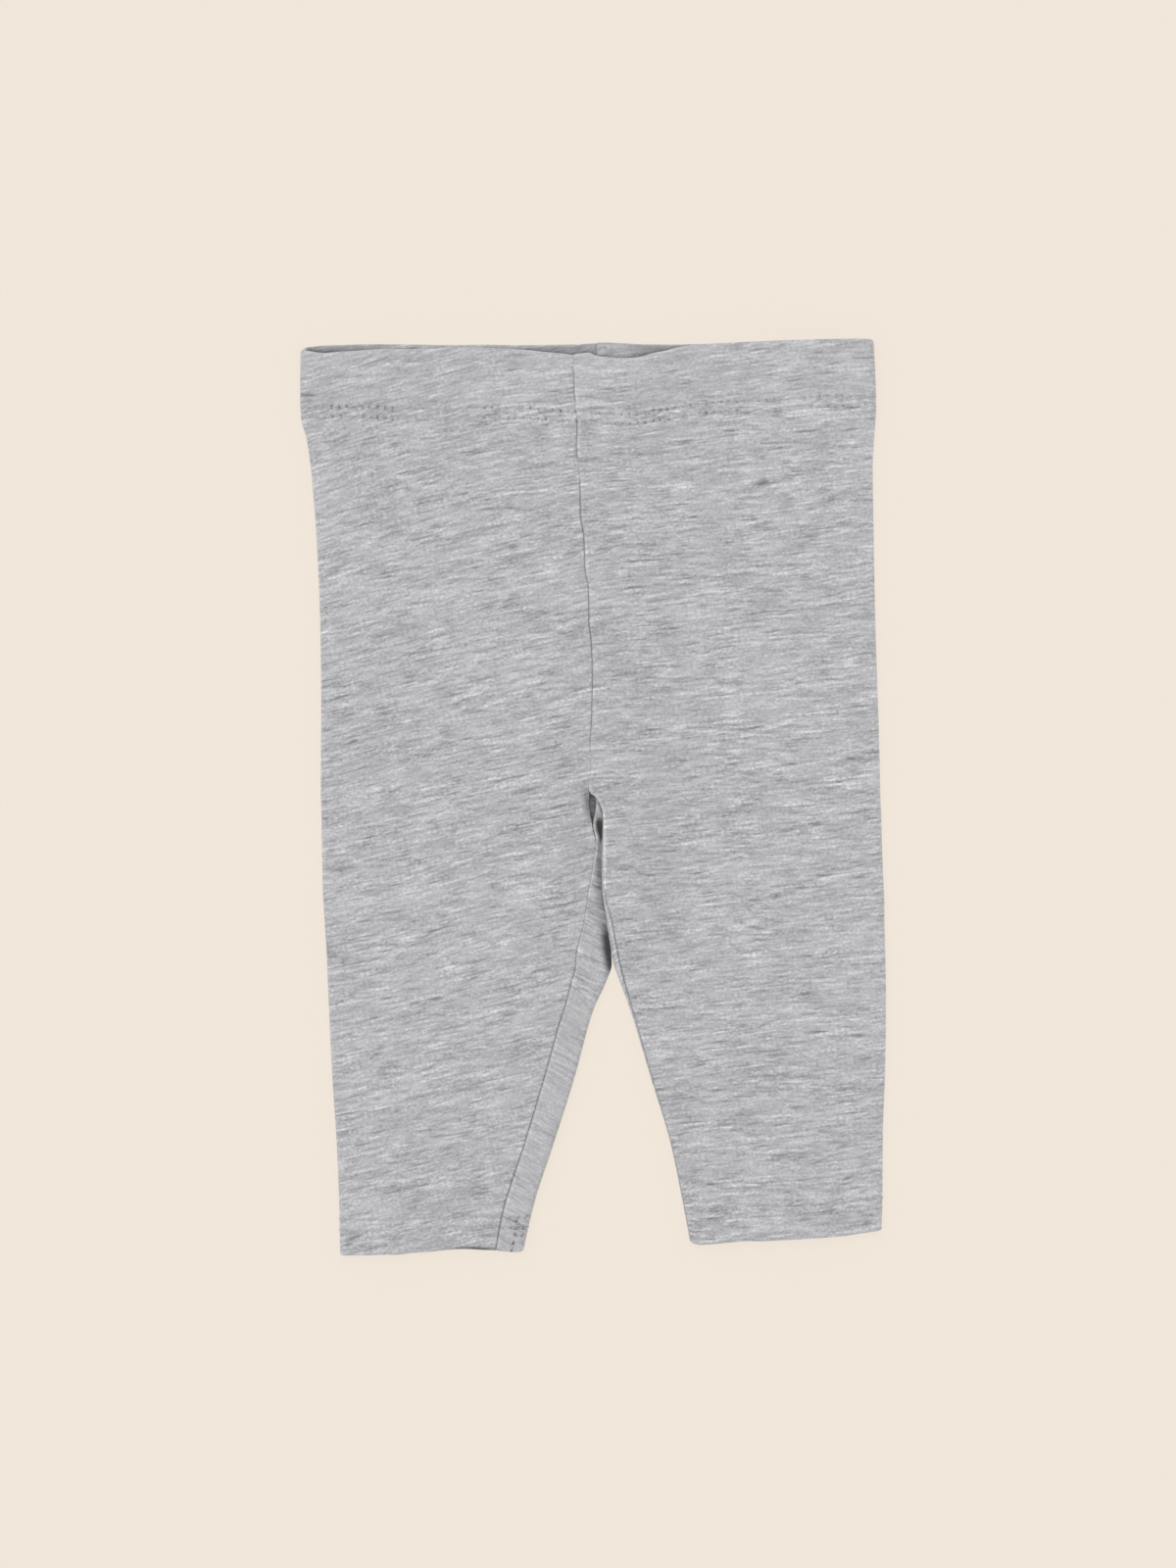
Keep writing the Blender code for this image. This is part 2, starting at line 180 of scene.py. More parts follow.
# x, the waist edge's rise over the line between its corners, and the front's drop below it
waistLine = (
    (-107.5, 0.6, 0.9), (-104.5, 1.2, 1.9), (-98, 1.6, 3.1), (-90.5, 1.75, 2.9), (-83, 1.8, 2.6),
    (-76, 1.7, 2.1), (-69, 1.5, 2.1), (-61.5, 1.3, 2), (-54.5, 1.05, 1.65), (-47, 1, 1.45),
    (-40, 0.95, 1.65), (-33, 0.75, 1.9), (-25.5, 0.5, 2.15), (-18.5, 0.5, 3), (-11.5, 0.5, 3.7),
    (-7, 0.5, 4.3), (-5, 0.5, 3.85), (-1.5, 0.7, 3.8), (0.8, 0.8, 4.8), (3, 1.1, 5.7), (9, 0.8, 6),
    (14.5, 0.4, 5.6), (18.5, 0.1, 4.8), (22.5, 0, 3.6), (27, -0.1, 2.8), (30.5, -0.2, 1.7),
    (35, -0.1, 1.15), (42, -0.1, 0.5), (58, 0.15, 0.2), (75, 0.35, 0), (95, 0.45, 0),
    (104, 0.25, 0),
)
riseDepth, dropDepth = 60.0, 36.0

Fold = namedtuple("Fold", "x y angle halfLength halfWidth height")


# Each fold with the cosine and the sine of its angle
def turned(folds):
    angles = [math.radians(fold[2]) for fold in folds]
    return [(Fold(*fold), math.cos(a), math.sin(a)) for fold, a in zip(folds, angles)]


mainFolds = turned((
    (6, 130.5, 0, 24, 4.5, 0.5), (8, 122.5, -4, 26, 5, -0.5), (11, 86, 92, 48, 5, -0.45),
    (8.5, -13, 88, 22, 4, 0.5), (21.5, -22, 96, 34, 6.5, -0.8), (-6, 3, 86, 15, 4.5, -0.6),
    (-17.5, 9, 150, 20, 5, 0.35), (-18, -101, 71, 27, 4, -0.4), (36, -134, 108, 26, 7, -0.4),
    (-62, -40, 100, 46, 12, -0.3), (70, -60, 84, 50, 13, -0.3),
))
# Smaller creases that only the looks need, on the front and on the underside
frontCreases = turned((
    (28, 147, 104, 15, 4.5, -0.45), (-14, 148, 76, 15, 5, -0.3), (-1.5, 80, 90, 60, 3.5, -0.22),
    (23, 60, 92, 40, 6, -0.25), (-34, 96, 118, 30, 9, 0.25), (-72, 104, 62, 26, 8, -0.2),
    (58, 92, 100, 34, 10, 0.22), (84, 60, 78, 28, 8, -0.2), (-52, 22, 96, 32, 9, 0.22),
    (-84, -8, 80, 30, 7, -0.2), (46, -6, 104, 30, 8, 0.25), (88, -16, 95, 26, 7, -0.2),
    (-44, -86, 84, 34, 9, 0.2), (-76, -118, 96, 30, 8, -0.2), (52, -96, 98, 32, 9, 0.22),
    (90, -112, 86, 28, 7, -0.2), (66, -146, 170, 20, 5, 0.15), (-58, -152, 12, 20, 5, 0.15),
))
undersideCreases = turned((
    (-64, 96, 70, 40, 5, 0.5), (-30, 60, 112, 34, 4, 0.4), (-78, 10, 84, 36, 5, 0.45),
    (-48, -58, 98, 40, 4.5, 0.5), (-70, -112, 78, 30, 4, 0.4), (34, 100, 64, 34, 4.5, 0.45),
    (76, 62, 104, 40, 5, 0.5), (44, 2, 86, 30, 4, 0.4), (82, -44, 96, 38, 4.5, 0.45),
    (60, -108, 74, 34, 4.5, 0.5),
))

# Where a leg's cloth is pressed down, at the crotch and at the corner under the waistband, as a
# share of its height. The same shares paint shade there, or painted light where they are below
# zero.
deepest = 0.62
hollows = {
    right: turned((
        (2.9, -10.7, 97, 3.5, 1.1, 2.3), (3.2, -13.6, 94, 4.2, 0.65, 1.3),
        (-1.3, -2.5, 98, 9, 1.5, 0.5), (2.8, -24, 91, 15, 1.3, 0.5), (4.2, -42, 96, 20, 3, 0.36),
        (6.2, -57.5, 97.5, 12.5, 1.5, 1.6), (-6.5, -32.3, 2, 4.5, 0.7, 0.16),
        (-2.1, -32.1, 16, 2.8, 0.7, -0.2), (1.4, -32.2, 167, 3, 0.7, -0.26),
        (1.8, -33.5, 167, 2.4, 0.7, 0.16), (-105.2, 147.3, 0, 5.5, 0.5, 0.26),
        (-105.2, 148.3, 0, 5.5, 0.5, -0.14), (-105.2, 146.2, 0, 5.5, 0.5, -0.14),
    )),
    left: turned((
        (5.4, -50, 97, 16, 0.6, 0.25),
    )),
}
# Painted shade and painted light in patches on the front, standing in for the shading of the
# cloth's soft folds, and painted shadow lines at the right hem
paintedShadePatches = turned((
    (-7.5, -12, 92, 36, 7, 0.1), (-19, 10, 110, 14, 7, 0.06), (27, -34, 95, 62, 7.5, 0.1),
    (15, -34, 92, 24, 7, 0.08), (27, 46, 88, 22, 6.5, 0.07), (24, 137, 115, 20, 9, 0.06),
    (12, 126, 0, 22, 5, 0.035), (16, 68, 90, 12, 6, 0.06), (44, -126, 84, 30, 13, 0.055),
    (-52, -132, 96, 28, 8, 0.035), (-36, 142, 88, 24, 13, -0.05), (-26, 161, 0, 22, 6, 0.05),
    (73, 140, 0, 40, 20, -0.035), (8, 6, 90, 175, 15, 0.03), (96, 60, 90, 95, 8, -0.035),
    (39, 56, 90, 14, 6, -0.05), (73, 22, 90, 12, 7, -0.05), (-59, -165, 1, 40, 4.5, 0.07),
    (72, -161, 5, 40, 2.4, 0.07), (-48.5, -165.42, 0, 9, 0.4, 0.45),
    (-40, -165.66, -2, 8.5, 0.4, 0.75), (-58, -166.4, 2, 20, 0.5, 0.08),
))
# Along the seam in front and then the inseam: level, how dark its line's painted shade is, the
# height of the ridge beside it, which is also painted as light, and that ridge's distance from the
# line
bodySeam = tuple((level, line, ridge, cloth["rimAt"]) for level, line, ridge in (
    (0, 0, 0.6), (4.6, 0, 0.8), (6.6, 0.62, 1.7), (17, 0.56, 1.7), (18.8, 0.05, 1.4),
    (24.4, 0.05, 0.8), (26.2, 0.62, 1.9), (38, 0.58, 1.7), (40.5, 0.25, 1), (43, 0.1, 1),
    (48, 0.2, 1), (51, 0.6, 1.2), (64, 0.78, 1.5), (88, 0.6, 1.4), (108, 0.78, 1.2),
    (126, 0.62, 1.1), (140, 0.55, 0.9), (147, 0.35, 0.7), (150, 0.08, 0.7), (158, 0.05, 0.7),
))
seamLooks = {
    right: bodySeam + (
        (163, 0, 1, 0.5), (183, 0, 2, 0.45), (188, 0.2, 2.2, 0.5),
        (215, 0.2, 2.2, 0.5), (230, 0.7, 1.5, 0.8), (250, 0.8, 1, 0.9),
        (262, 0.8, 1.6, 1), (333, 0.85, 1.7, 1),
    ),
    left: bodySeam + (
        (163, 0, 1, 0.8), (168, 0, 3.2, 0.8), (199, 0, 3.2, 0.8),
        (200.5, 0.1, 0, 0.6), (202, 0.3, 2.2, 0.8), (206, 0.6, 2.4, 0.9),
        (232, 0.8, 2.2, 0.9), (250, 0.8, 1, 0.9), (331, 0.8, 1, 0.9),
    ),
}
backSeamLine = 0.7
leftRimCrosses = 200.5  # the level at which the left leg's ridge goes from the front to the back


def smooth(t):
    t = max(0.0, min(1.0, t))
    return t * t * (3 - 2 * t)


def bell(distance, half):
    return math.exp(-((distance / half) ** 2))


# A curve through (xs, ys) at x that never overshoots its points
def along(xs, ys, x):
    x = max(xs[0], min(xs[-1], x))
    i = 0
    while i < len(xs) - 2 and xs[i + 1] <= x:
        i += 1

    def slope(k):
        return (ys[k + 1] - ys[k]) / (xs[k + 1] - xs[k])

    def tangent(k):
        if k in (0, len(xs) - 1):
            return slope(min(k, len(xs) - 2))
        before, after = slope(k - 1), slope(k)
        return 0.0 if before * after <= 0 else 2 * before * after / (before + after)

    step = xs[i + 1] - xs[i]
    t = (x - xs[i]) / step
    ease = t * t * (3 - 2 * t)
    leave, arrive = t * (1 - t) ** 2, t * t * (t - 1)
    bending = step * (leave * tangent(i) + arrive * tangent(i + 1))
    return ys[i] * (1 - ease) + ys[i + 1] * ease + bending


# The other columns of a table, at a place in its first column
def read(table, place):
    places, *columns = zip(*table)
    return [along(places, column, place) for column in columns]


def legRowsOf(side, ownRows):
    rows = []
    for level in sorted({row[0] for row in bodyRows + frontSeam}):
        yRight, xRight, yCentre, xBack, yLeft, xLeft = read(bodyRows, level)
        ySide, xSide = (yRight, xRight) if side == right else (yLeft, xLeft)
        seamIn = side * (read(frontSeam, level)[0] - xBack)
        rows.append(Row(level, ySide, xSide, yCentre, xBack, seamIn, 0, 0))
    return rows + [Row(*own) for own in ownRows]


# grain is the angle of the knitted courses to the floor's X. The slants are those of the side
# fold and the inner fold, as x for each y, over which the flat cut is folded.
legs = {
    right: {"side": right, "rows": legRowsOf(right, rightLegRows), "end": 333.0,
            "grain": 13.0, "bend": 0.00067, "bendAt": -52.0,
            "sideSlant": -0.045, "innerSlant": 0.315},
    left: {"side": left, "rows": legRowsOf(left, leftLegRows), "end": 331.0,
           "grain": 5.5, "bend": 0.0, "bendAt": 52.0,
           "sideSlant": 0.0, "innerSlant": -0.273},
}


def foldRadiusAt(leg, level):
    base = cloth["foldRadius"]
    atBand = 1 - smooth((level - band["easeStart"]) / band["ease"])
    atHem = smooth((level - leg["end"] + hem["depth"] + hem["ease"]) / hem["ease"])
    return base + (band["foldRadius"] - base) * atBand + (hem["foldRadius"] - base) * atHem


# A closed section at distance c from its innermost point, over the front: the distance from
# that point towards the side, and the height
def tubePoint(c, radius, flat):
    quarter, half = math.pi * radius / 2, math.pi * radius
    c %= 2 * flat + 4 * quarter
    if c < quarter:
        angle = c / radius
        return radius * (1 - math.cos(angle)), radius * (1 + math.sin(angle))
    c -= quarter
    if c < flat:
        return radius + c, 2 * radius
    c -= flat
    if c < half:
        angle = c / radius
        return radius + flat + radius * math.sin(angle), radius * (1 + math.cos(angle))
    c -= half
    if c < flat:
        return radius + flat - c, 0.0
    angle = (c - flat) / radius
    return radius * (1 - math.sin(angle)), radius * (1 - math.cos(angle))


def seamDistance(seamIn, radius):
    onFold = radius * math.acos(1 - min(abs(seamIn), radius) / radius)
    return math.copysign(onFold + max(abs(seamIn) - radius, 0.0), seamIn)


# One section as a function of the distance from the front edge, its landmarks, and where its
# innermost point lies
def sectionPath(row, radius, width):
    flat = width - 2 * radius
    quarter = math.pi * radius / 2
    start = seamDistance(row.seamIn, radius)
    gap = cloth["seamGap"] + cloth["openGap"] * (1 - row.turn) + row.apart
    closedTurn = max(0.0, math.pi - max(0.0, quarter - start + gap) / radius)
    strip = max(0.0, start - quarter - gap)

    if row.turn > closed:
        length = 2 * flat + 4 * quarter - gap
        foldStart = quarter + flat - start
        foldEnd = foldStart + 2 * quarter
        innerStart = length - max(grid["edgeZone"], closedTurn * radius + strip)
        return (lambda s: tubePoint(start + s, radius, flat),
                foldStart, foldEnd, innerStart, length, length + gap - start)

    turn = row.turn * closedTurn
    curl = radius + row.turn * (closedTurn * radius - radius)
    curlRadius = curl / turn if turn else math.inf
    curlStart = curlRadius * math.sin(min(turn, math.pi / 2)) if turn else curl
    foldStart = width - radius - row.seamIn
    foldEnd = foldStart + 2 * quarter
    curlAt = foldEnd + width - radius - curlStart
    strip *= row.turn
    length = curlAt + curl + strip

    def point(s):
        if s < foldStart:
            return row.seamIn + s, 2 * radius
        if s < foldEnd:
            angle = (s - foldStart) / radius
            return width - radius + radius * math.sin(angle), radius * (1 + math.cos(angle))
        if s < curlAt or not turn:
            return width - radius - (s - foldEnd), 0.0
        angle = min((s - curlAt) / curlRadius, turn)
        past = max(0.0, s - curlAt - curl)
        return (curlStart - curlRadius * math.sin(angle) - past * math.cos(angle),
                curlRadius * (1 - math.cos(angle)) + past * math.sin(angle))

    innerStart = length - max(grid["edgeZone"], curl + strip)
    return point, foldStart, foldEnd, innerStart, length, math.inf


grid = {
    "seamZone": 1.6,
    "edgeZone": 7.6,
    "counts": (7, 6, 84, 9, 36, 26, 7),  # seam, edge, front, side fold, underside, inner fold, seam
    "seamCrowding": 1.5,
    "beyond": 0.8,  # how far past its ends a piece is followed, for the normals there
    "foldSteps": 6,
    "sharpAngle": 55,
}


def columnsOf(cut):
    zone = grid["seamZone"]
    stops = (0.0, zone, grid["edgeZone"], cut.foldStart, cut.foldEnd, cut.innerStart,
             cut.length - zone, cut.length)
    places = [0.0]
    for i, count in enumerate(grid["counts"]):
        begin, end = stops[i], stops[i + 1]
        for k in range(1, count + 1):
            t = k / count
            if i == 0:
                t = t ** grid["seamCrowding"]
            elif i == len(grid["counts"]) - 1:
                t = 1 - (1 - t) ** grid["seamCrowding"]
            places.append(begin + (end - begin) * t)
    return places


Cut = namedtuple("Cut", "leg level row radius xInner width line ridge ridgeAt "
                        "point foldStart foldEnd innerStart length innermost")


def cutAt(leg, level):
    row = Row(level, *read(leg["rows"], level))
    radius = foldRadiusAt(leg, level)
    xInner = row.xInner + leg["side"] * cloth["seamGap"] / 2
    width = abs(row.xSide - xInner)
    return Cut(leg, level, row, radius, xInner, width, *read(seamLooks[leg["side"]], level),
               *sectionPath(row, radius, width))


def foldHeight(folds, x, y):
    height = 0.0
    for fold, cosine, sine in folds:
        dx, dy = x - fold.x, y - fold.y
        lengthwise = (dx * cosine + dy * sine) / fold.halfLength
        if abs(lengthwise) < 1:
            across = (dy * cosine - dx * sine) / fold.halfWidth
            height += fold.height * (1 - lengthwise**2) ** 2 * math.exp(-(across**2))
    return height


def waistShift(x, level, front):
    if level > 3 * riseDepth:
        return 0.0
    rise, drop = read(waistLine, x)
    rise *= bell(level, riseDepth)
    if level > 3 * dropDepth:
        return rise
    return rise - front * drop * bell(level, dropDepth)


def hemShift(x, fromHem, front):
    if fromHem > 2 * hem["depth"]:
        return 0.0
    rise, frontRise = read(hemLine, x)
    return (rise + front * frontRise) * (1 - fromHem / (2 * hem["depth"]))


# A place on the cloth's outer face before its fine relief, and how much it is front or underside
def placeOn(cut, s):
    offset, height = cut.point(s)
    side = cut.leg["side"]
    x = cut.xInner + side * offset
    y = cut.row.yInner + (cut.row.ySide - cut.row.yInner) * offset / cut.width
    front = smooth(height / (2 * cut.radius))
    y += waistShift(x, cut.level, front)
    y += hemShift(x, cut.leg["end"] - cut.level, front)
    upper = max(0.0, height / cut.radius - 1)
    lower = max(0.0, 1 - height / cut.radius)
    if upper:
        fromFold = min(cut.width - offset, offset if cut.row.turn > closed else cut.width)
        rise = cloth["loft"] * smooth(fromFold / cloth["loftReach"])
        height += upper * (rise + foldHeight(mainFolds, x, y))
    height *= 1 - min(deepest, foldHeight(hollows[side], x, y))
    return Vector((x, y, height)), upper, lower


stitching = {
    "pitch": 2.8,
    "rowGap": 3.85,
    "waistRow": 22,  # about the upper waist row's level
    "hemRow": 9,  # the lower hem row's distance from the hem's edge
    "hemFrom": 100,  # the level from which the hem's rows are the nearest
    "groove": 0.13,
    "grooveHalf": 0.6,
    "grooveReach": 8,
    "grooveAtHem": 0.25,
    "showBelow": 0.7,  # how clearly the rows show on the underside
    "threadRadius": 0.16,
    "threadLength": 2.35,
    "threadRise": 0.14,
    "threadDip": 0.22,
    "liftAbove": 0.05,
    "liftBelow": -0.22,
    "unevenness": 0.06,
    "measureAt": 50,  # where a row's level is read to measure its length
    "probe": 0.4,  # how far around a stitch the surface is followed
    "colour": (0.52, 0.52, 0.53, 1),
    "shaded": 0.78,
    "twistScale": 2600,
    "twistRange": (0.3, 0.7),
}
# x and the level of the upper waist row, which wanders as a sewn row does
waistRow = (
    (-107, 21.2), (-93, 20.7), (-77, 22), (-59, 22.5), (-34, 22.3), (-20, 21.9), (-5, 22.4),
    (13, 22.7), (30, 22.9), (42, 22.2), (52, 22.2), (67, 22.4), (84, 21.7), (98, 21.9), (106, 21.9),
)
# x and how clearly the stitch rows show there, on the front
waistShow = (
    (-107, 0.35), (-99, 0.5), (-94, 0.9), (-86, 0.95), (-76, 0.7), (-66, 0.45), (-50, 0.35),
    (-42, 0.7), (-22, 0.8), (-8, 0.75), (2, 0.45), (9, 0.4), (14, 0.9), (32, 0.9), (42, 0.7),
    (54, 0.65), (62, 0.5), (72, 0.35), (80, 0.5), (94, 0.5), (106, 0.3),
)
hemShow = (
    (-92, 0.15), (-66, 0.2), (-58, 0.35), (-38, 0.35), (-30, 0.5), (-26, 0.5), (36, 0.2),
    (46, 0.25), (54, 0.3), (66, 0.3), (76, 0.2), (84, 0.45), (98, 0.5), (106, 0.25),
)
# The tack that ties off the right hem's stitching, on the cloth behind the inseam. The places
# of its stitches are distances from the hem's edge.
tack = {
    "side": right,
    "at": 5.7,
    "pitch": 2.8,
    "from": 0.2,
    "to": 12.4,
    "secondAt": 8.6,
    "secondFrom": 4.8,
    "secondTo": 10.4,
    "threadLength": 2,
    "along": (2, 4.8, 7.6, 10.4),
    "across": (6.6, 8.1, 9.7, 11.2),
    "acrossAt": (7, 9.2),
}
# A thick spot in the yarn, on the left leg
slub = {"x": 62.5, "y": 115.4, "halfLength": 2.7, "halfWidth": 1.5}


def atWaist(cut):
    return cut.level < stitching["hemFrom"]


# Distance below the nearest pair of stitch rows' first row
def rowDistance(cut, x):
    if atWaist(cut):
        return cut.level - read(waistRow, x)[0]
    return cut.leg["end"] - cut.level - stitching["hemRow"]


def rowShow(cut, place):
    if place.z <= cut.radius:
        return stitching["showBelow"]
    return read(waistShow if atWaist(cut) else hemShow, place.x)[0]


def tackDistance(cut, s):
    fromEnd = cut.leg["end"] - cut.level
    if cut.leg["side"] != tack["side"] or not tack["from"] < fromEnd < tack["to"]:
        return farAway
    distance = cut.length - s
    middle = (tack["at"] + tack["secondAt"]) / 2
    if distance > middle and tack["secondFrom"] < fromEnd < tack["secondTo"]:
        return distance - tack["secondAt"]
    return distance - tack["at"]


def slubAt(place, upper):
    lengthwise = (place.x - slub["x"]) / slub["halfLength"]
    across = (place.y - slub["y"]) / slub["halfWidth"]
    return upper * math.exp(-(lengthwise**2) - across**2)


# How far the cloth turns down beside a seam
def seamShoulder(distance, line):
    least = cloth["leastShoulder"]
    radius = cloth["shoulder"] * (least + (1 - least) * line)
    if distance >= radius:
        return 0.0
    return radius - math.sqrt(max(0.0, radius**2 - (radius - distance) ** 2))


# How dark the painted shade of the seam at the section's far end is
def backLine(cut):
    return cut.line if cut.row.turn >= closed else backSeamLine


def shoulders(cut, s):
    return seamShoulder(s, cut.line) + seamShoulder(cut.length - s, backLine(cut))


# The ridge lies on the back piece beside a closed leg's seam. On the left leg it lies on the
# front piece down to where it crosses over. Its height is also painted as light along it.
def seamRim(cut, s):
    isLeft = cut.leg["side"] == left
    if cut.row.turn >= closed and not (isLeft and cut.level < leftRimCrosses):
        s = cut.length - s
    elif not isLeft:
        return 0.0
    narrowest, widening = cloth["rimSpread"]
    half = cloth["rimHalf"] * (narrowest + widening * cut.ridgeAt)
    return cut.ridge * bell(s - cut.ridgeAt, half)


# Painted highlight on the side fold, and on the left leg's front edge at the crotch
def paintedFoldLight(cut, s):
    outermost = (cut.foldStart + cut.foldEnd) / 2
    side = cut.leg["side"]
    wear = cloth["paintedFoldLight"][side] * bell(s - outermost, cloth["paintedFoldLightHalf"])
    if side == left and cut.row.turn >= closed and cut.level < leftRimCrosses:
        wear += cloth["paintedSlitLight"] * bell(s - cloth["paintedSlitLightAt"], cloth["paintedSlitLightHalf"])
    return wear


# The marl calms down over the first millimetre behind the inner fold
def calmBehind(cut, s):
    below = smooth((cut.level - cloth["calmStart"]) / cloth["calmEase"])
    return smooth(s - cut.innermost) * cloth["calmBehind"] * below


def unevenness(kind, x, y):
    size, stretch, seed = cloth[kind]
    return noise.noise(Vector((x, y * stretch, seed)) / size)


# Fine relief along the cloth's own normal: seams, stitch rows, creases and unevenness
def reliefOn(cut, s, place, upper, lower):
    x, y = place.x, place.y
    relief = -shoulders(cut, s)
    relief += cloth["rim"] * seamRim(cut, s)
    distance = rowDistance(cut, x)
    if abs(distance) < stitching["grooveReach"]:
        half = stitching["grooveHalf"]
        pulled = bell(distance, half) + bell(distance - stitching["rowGap"], half)
        relief -= stitching["groove"] * pulled * (1 if atWaist(cut) else stitching["grooveAtHem"])
    ripple = unevenness("rippleNoise", x, y)
    swell = unevenness("swellNoise", x, y)
    relief += upper * (cloth["ripple"] * ripple + cloth["swell"] * swell)
    relief += upper * foldHeight(frontCreases, x, y)
    relief -= lower * foldHeight(undersideCreases, x, y)
    relief -= lower * cloth["ripple"] * (1 + ripple) / 2
    return relief


def mirrorDirection(direction, slant):
    line = Vector((slant, 1.0)).normalized()
    return 2 * direction.dot(line) * line - direction


# Where a point lies in the flat cut, opened out over the side fold and the inner fold
def planOf(cut, s, place):
    leg, row = cut.leg, cut.row
    side = leg["side"]
    slope = (row.ySide - row.yInner) / cut.width
    outwards = Vector((side, slope))
    spot = Vector((cut.xInner + side * row.seamIn, row.yInner + slope * row.seamIn))
    sideFold = (cut.foldStart + cut.foldEnd) / 2
    spot += outwards * min(s, sideFold)
    if s > sideFold:
        inwards = mirrorDirection(-outwards, leg["sideSlant"])
        spot += inwards * (min(s, cut.innermost) - sideFold)
    if s > cut.innermost:
        again = mirrorDirection(mirrorDirection(outwards, leg["innerSlant"]), leg["sideSlant"])
        spot += again * (s - cut.innermost)
    # The cut follows part of the waist's dip
    straight = row.yInner + slope * abs(place.x - cut.xInner)
    spot.y += cloth["dipInCut"] * (place.y - straight)
    grain = math.radians(leg["grain"])
    bend = leg["bend"] * (1 - smooth((cut.level - cloth["bendFrom"]) / cloth["bendFade"]))
    u = spot.x * math.cos(grain) + spot.y * math.sin(grain)
    v = spot.y * math.cos(grain) - spot.x * math.sin(grain)
    return Vector((u, v + bend * (spot.x - leg["bendAt"]) ** 2))


def levelsBetween(stops):
    levels = [stops[0][0]]
    for (begin, _), (end, step) in zip(stops, stops[1:]):
        count = max(1, round((end - begin) / step))
        levels += [begin + (end - begin) * (k + 1) / count for k in range(count)]
    return levels


def normalsOf(places, side):
    rows, across = len(places), len(places[0])
    normals = []
    for r in range(rows):
        above, below = places[max(r - 1, 0)], places[min(r + 1, rows - 1)]
        line = []
        for c in range(across):
            sideways = places[r][min(c + 1, across - 1)] - places[r][max(c - 1, 0)]
            line.append((sideways.cross(below[c] - above[c]) * -side).normalized())
        normals.append(line)
    return normals


# x and how dark the waistband's inner face is painted there: painted shade, and painted light below
# zero
waistInside = (
    (-107, 0.9), (-95, 0.6), (-84, 0.15), (-74, -0.3), (-60, -0.5), (-45, -0.45), (-36, -0.2),
    (-26, 0.35), (-10, 0.55), (0.5, 0.6), (1.8, 0.1), (11, 0.15), (16, 0.5), (24, 0.65), (34, 0.3),
    (106, 0),
)


# How dark the inner face is painted, mostly as shade. The band's has a painted shadow line behind
# the front edge.
def insideShade(cut, place, lower):
    if cut.level > band["depth"]:
        return cloth["inside"]
    _, drop = read(waistLine, place.x)
    behind = max(0.0, drop - cut.level)
    line = lower * band["insideLine"] * bell(behind, band["insideHalf"])
    return read(waistInside, place.x)[0] + line * smooth(drop / band["insideEase"])


def linked(name, data):
    made = bpy.data.objects.new(name, data)
    bpy.context.scene.collection.objects.link(made)
    return made


def storeVectors(mesh, label, vectors):
    layer = mesh.attributes.new(label, "FLOAT_VECTOR", "POINT")
    layer.data.foreach_set("vector", [value for vector in vectors for value in vector])


Spot = namedtuple("Spot", "place plan marks stitch wear calm")
farAway = 50.0


# One point of a piece, on its outer face and on its inner face
def spotPair(cut, s, found, normal, wall, foldedEnd):
    place, upper, lower = found
    leg = cut.leg
    plan = insidePlan = planOf(cut, s, place)
    # Painted shade along the seams' grooves, and painted light along the ridge and on the folds
    seam = bell(s, cloth["lineHalf"]) * cut.line
    seam += bell(cut.length - s, cloth["lineHalf"]) * backLine(cut)
    rim = seamRim(cut, s) + paintedFoldLight(cut, s)
    calm, insideSeam, drop = calmBehind(cut, s), 0.0, 0.0
    # Painted highlights along the band's top edge and along the hem's folded edge
    if foldedEnd == "top":
        fromLight = cut.level - band["edgeLightAt"]
        rim += band["edgeLight"] * upper * bell(fromLight, band["edgeLightHalf"])
        insidePlan = plan + Vector((0.0, 2 * cut.level + band["turnIn"]))
        calm, insideSeam, drop = band["calm"], seam, shoulders(cut, s)
    if foldedEnd == "bottom":
        rim += hem["wear"] * bell(leg["end"] - hem["wall"] / 2 - cut.level, hem["paintedLightAndMarksHalf"])
        insidePlan = plan - Vector((0.0, 2 * (leg["end"] - cut.level) + hem["turnIn"]))
    # Painted shade where the cloth is pressed down, and painted shade and light in patches on the
    # front
    paintedShading = foldHeight(hollows[leg["side"]], place.x, place.y)
    paintedShading = min(cloth["darkest"], paintedShading) * (1 - lower)
    paintedShading += upper * foldHeight(paintedShadePatches, place.x, place.y)
    stitch = Vector((s, rowDistance(cut, place.x), tackDistance(cut, s)))
    # The stitch rows' clearness, the slub's own darker yarn, and that painted shade and light
    wear = Vector((rowShow(cut, place), slubAt(place, upper), paintedShading))
    outer = place + normal * reliefOn(cut, s, place, upper, lower)
    # Painted shade on the inner face
    insideShading = Vector((insideSeam, 0.0, insideShade(cut, place, lower)))
    return (Spot(outer, plan, Vector((seam, rim, 0.0)), stitch, wear, calm),
            Spot(place - normal * (wall - drop), insidePlan, insideShading,
                 Vector((s, farAway, farAway)), Vector(), calm))


# The rows that lead from one face over a folded end to the other
def foldOver(outerLine, innerLine, beforeLine, turnUp):
    arc = []
    steps = grid["foldSteps"]
    for k in range(1, steps):
        angle = math.pi * k / steps
        line = []
        for o, i, b in zip(outerLine, innerLine, beforeLine):
            half = (o.place - i.place) / 2
            away = (o.place - b.place).normalized() * half.length
            middle = (o.place + i.place) / 2
            place = middle + half * math.cos(angle) + away * math.sin(angle)
            plan = o.plan + Vector((0.0, turnUp * half.length * angle))
            marks = o.marks.lerp(i.marks, max(0.0, 2 * k / steps - 1))
            line.append(Spot(place, plan, marks, o.stitch, o.wear, o.calm))
        arc.append(line)
    return arc


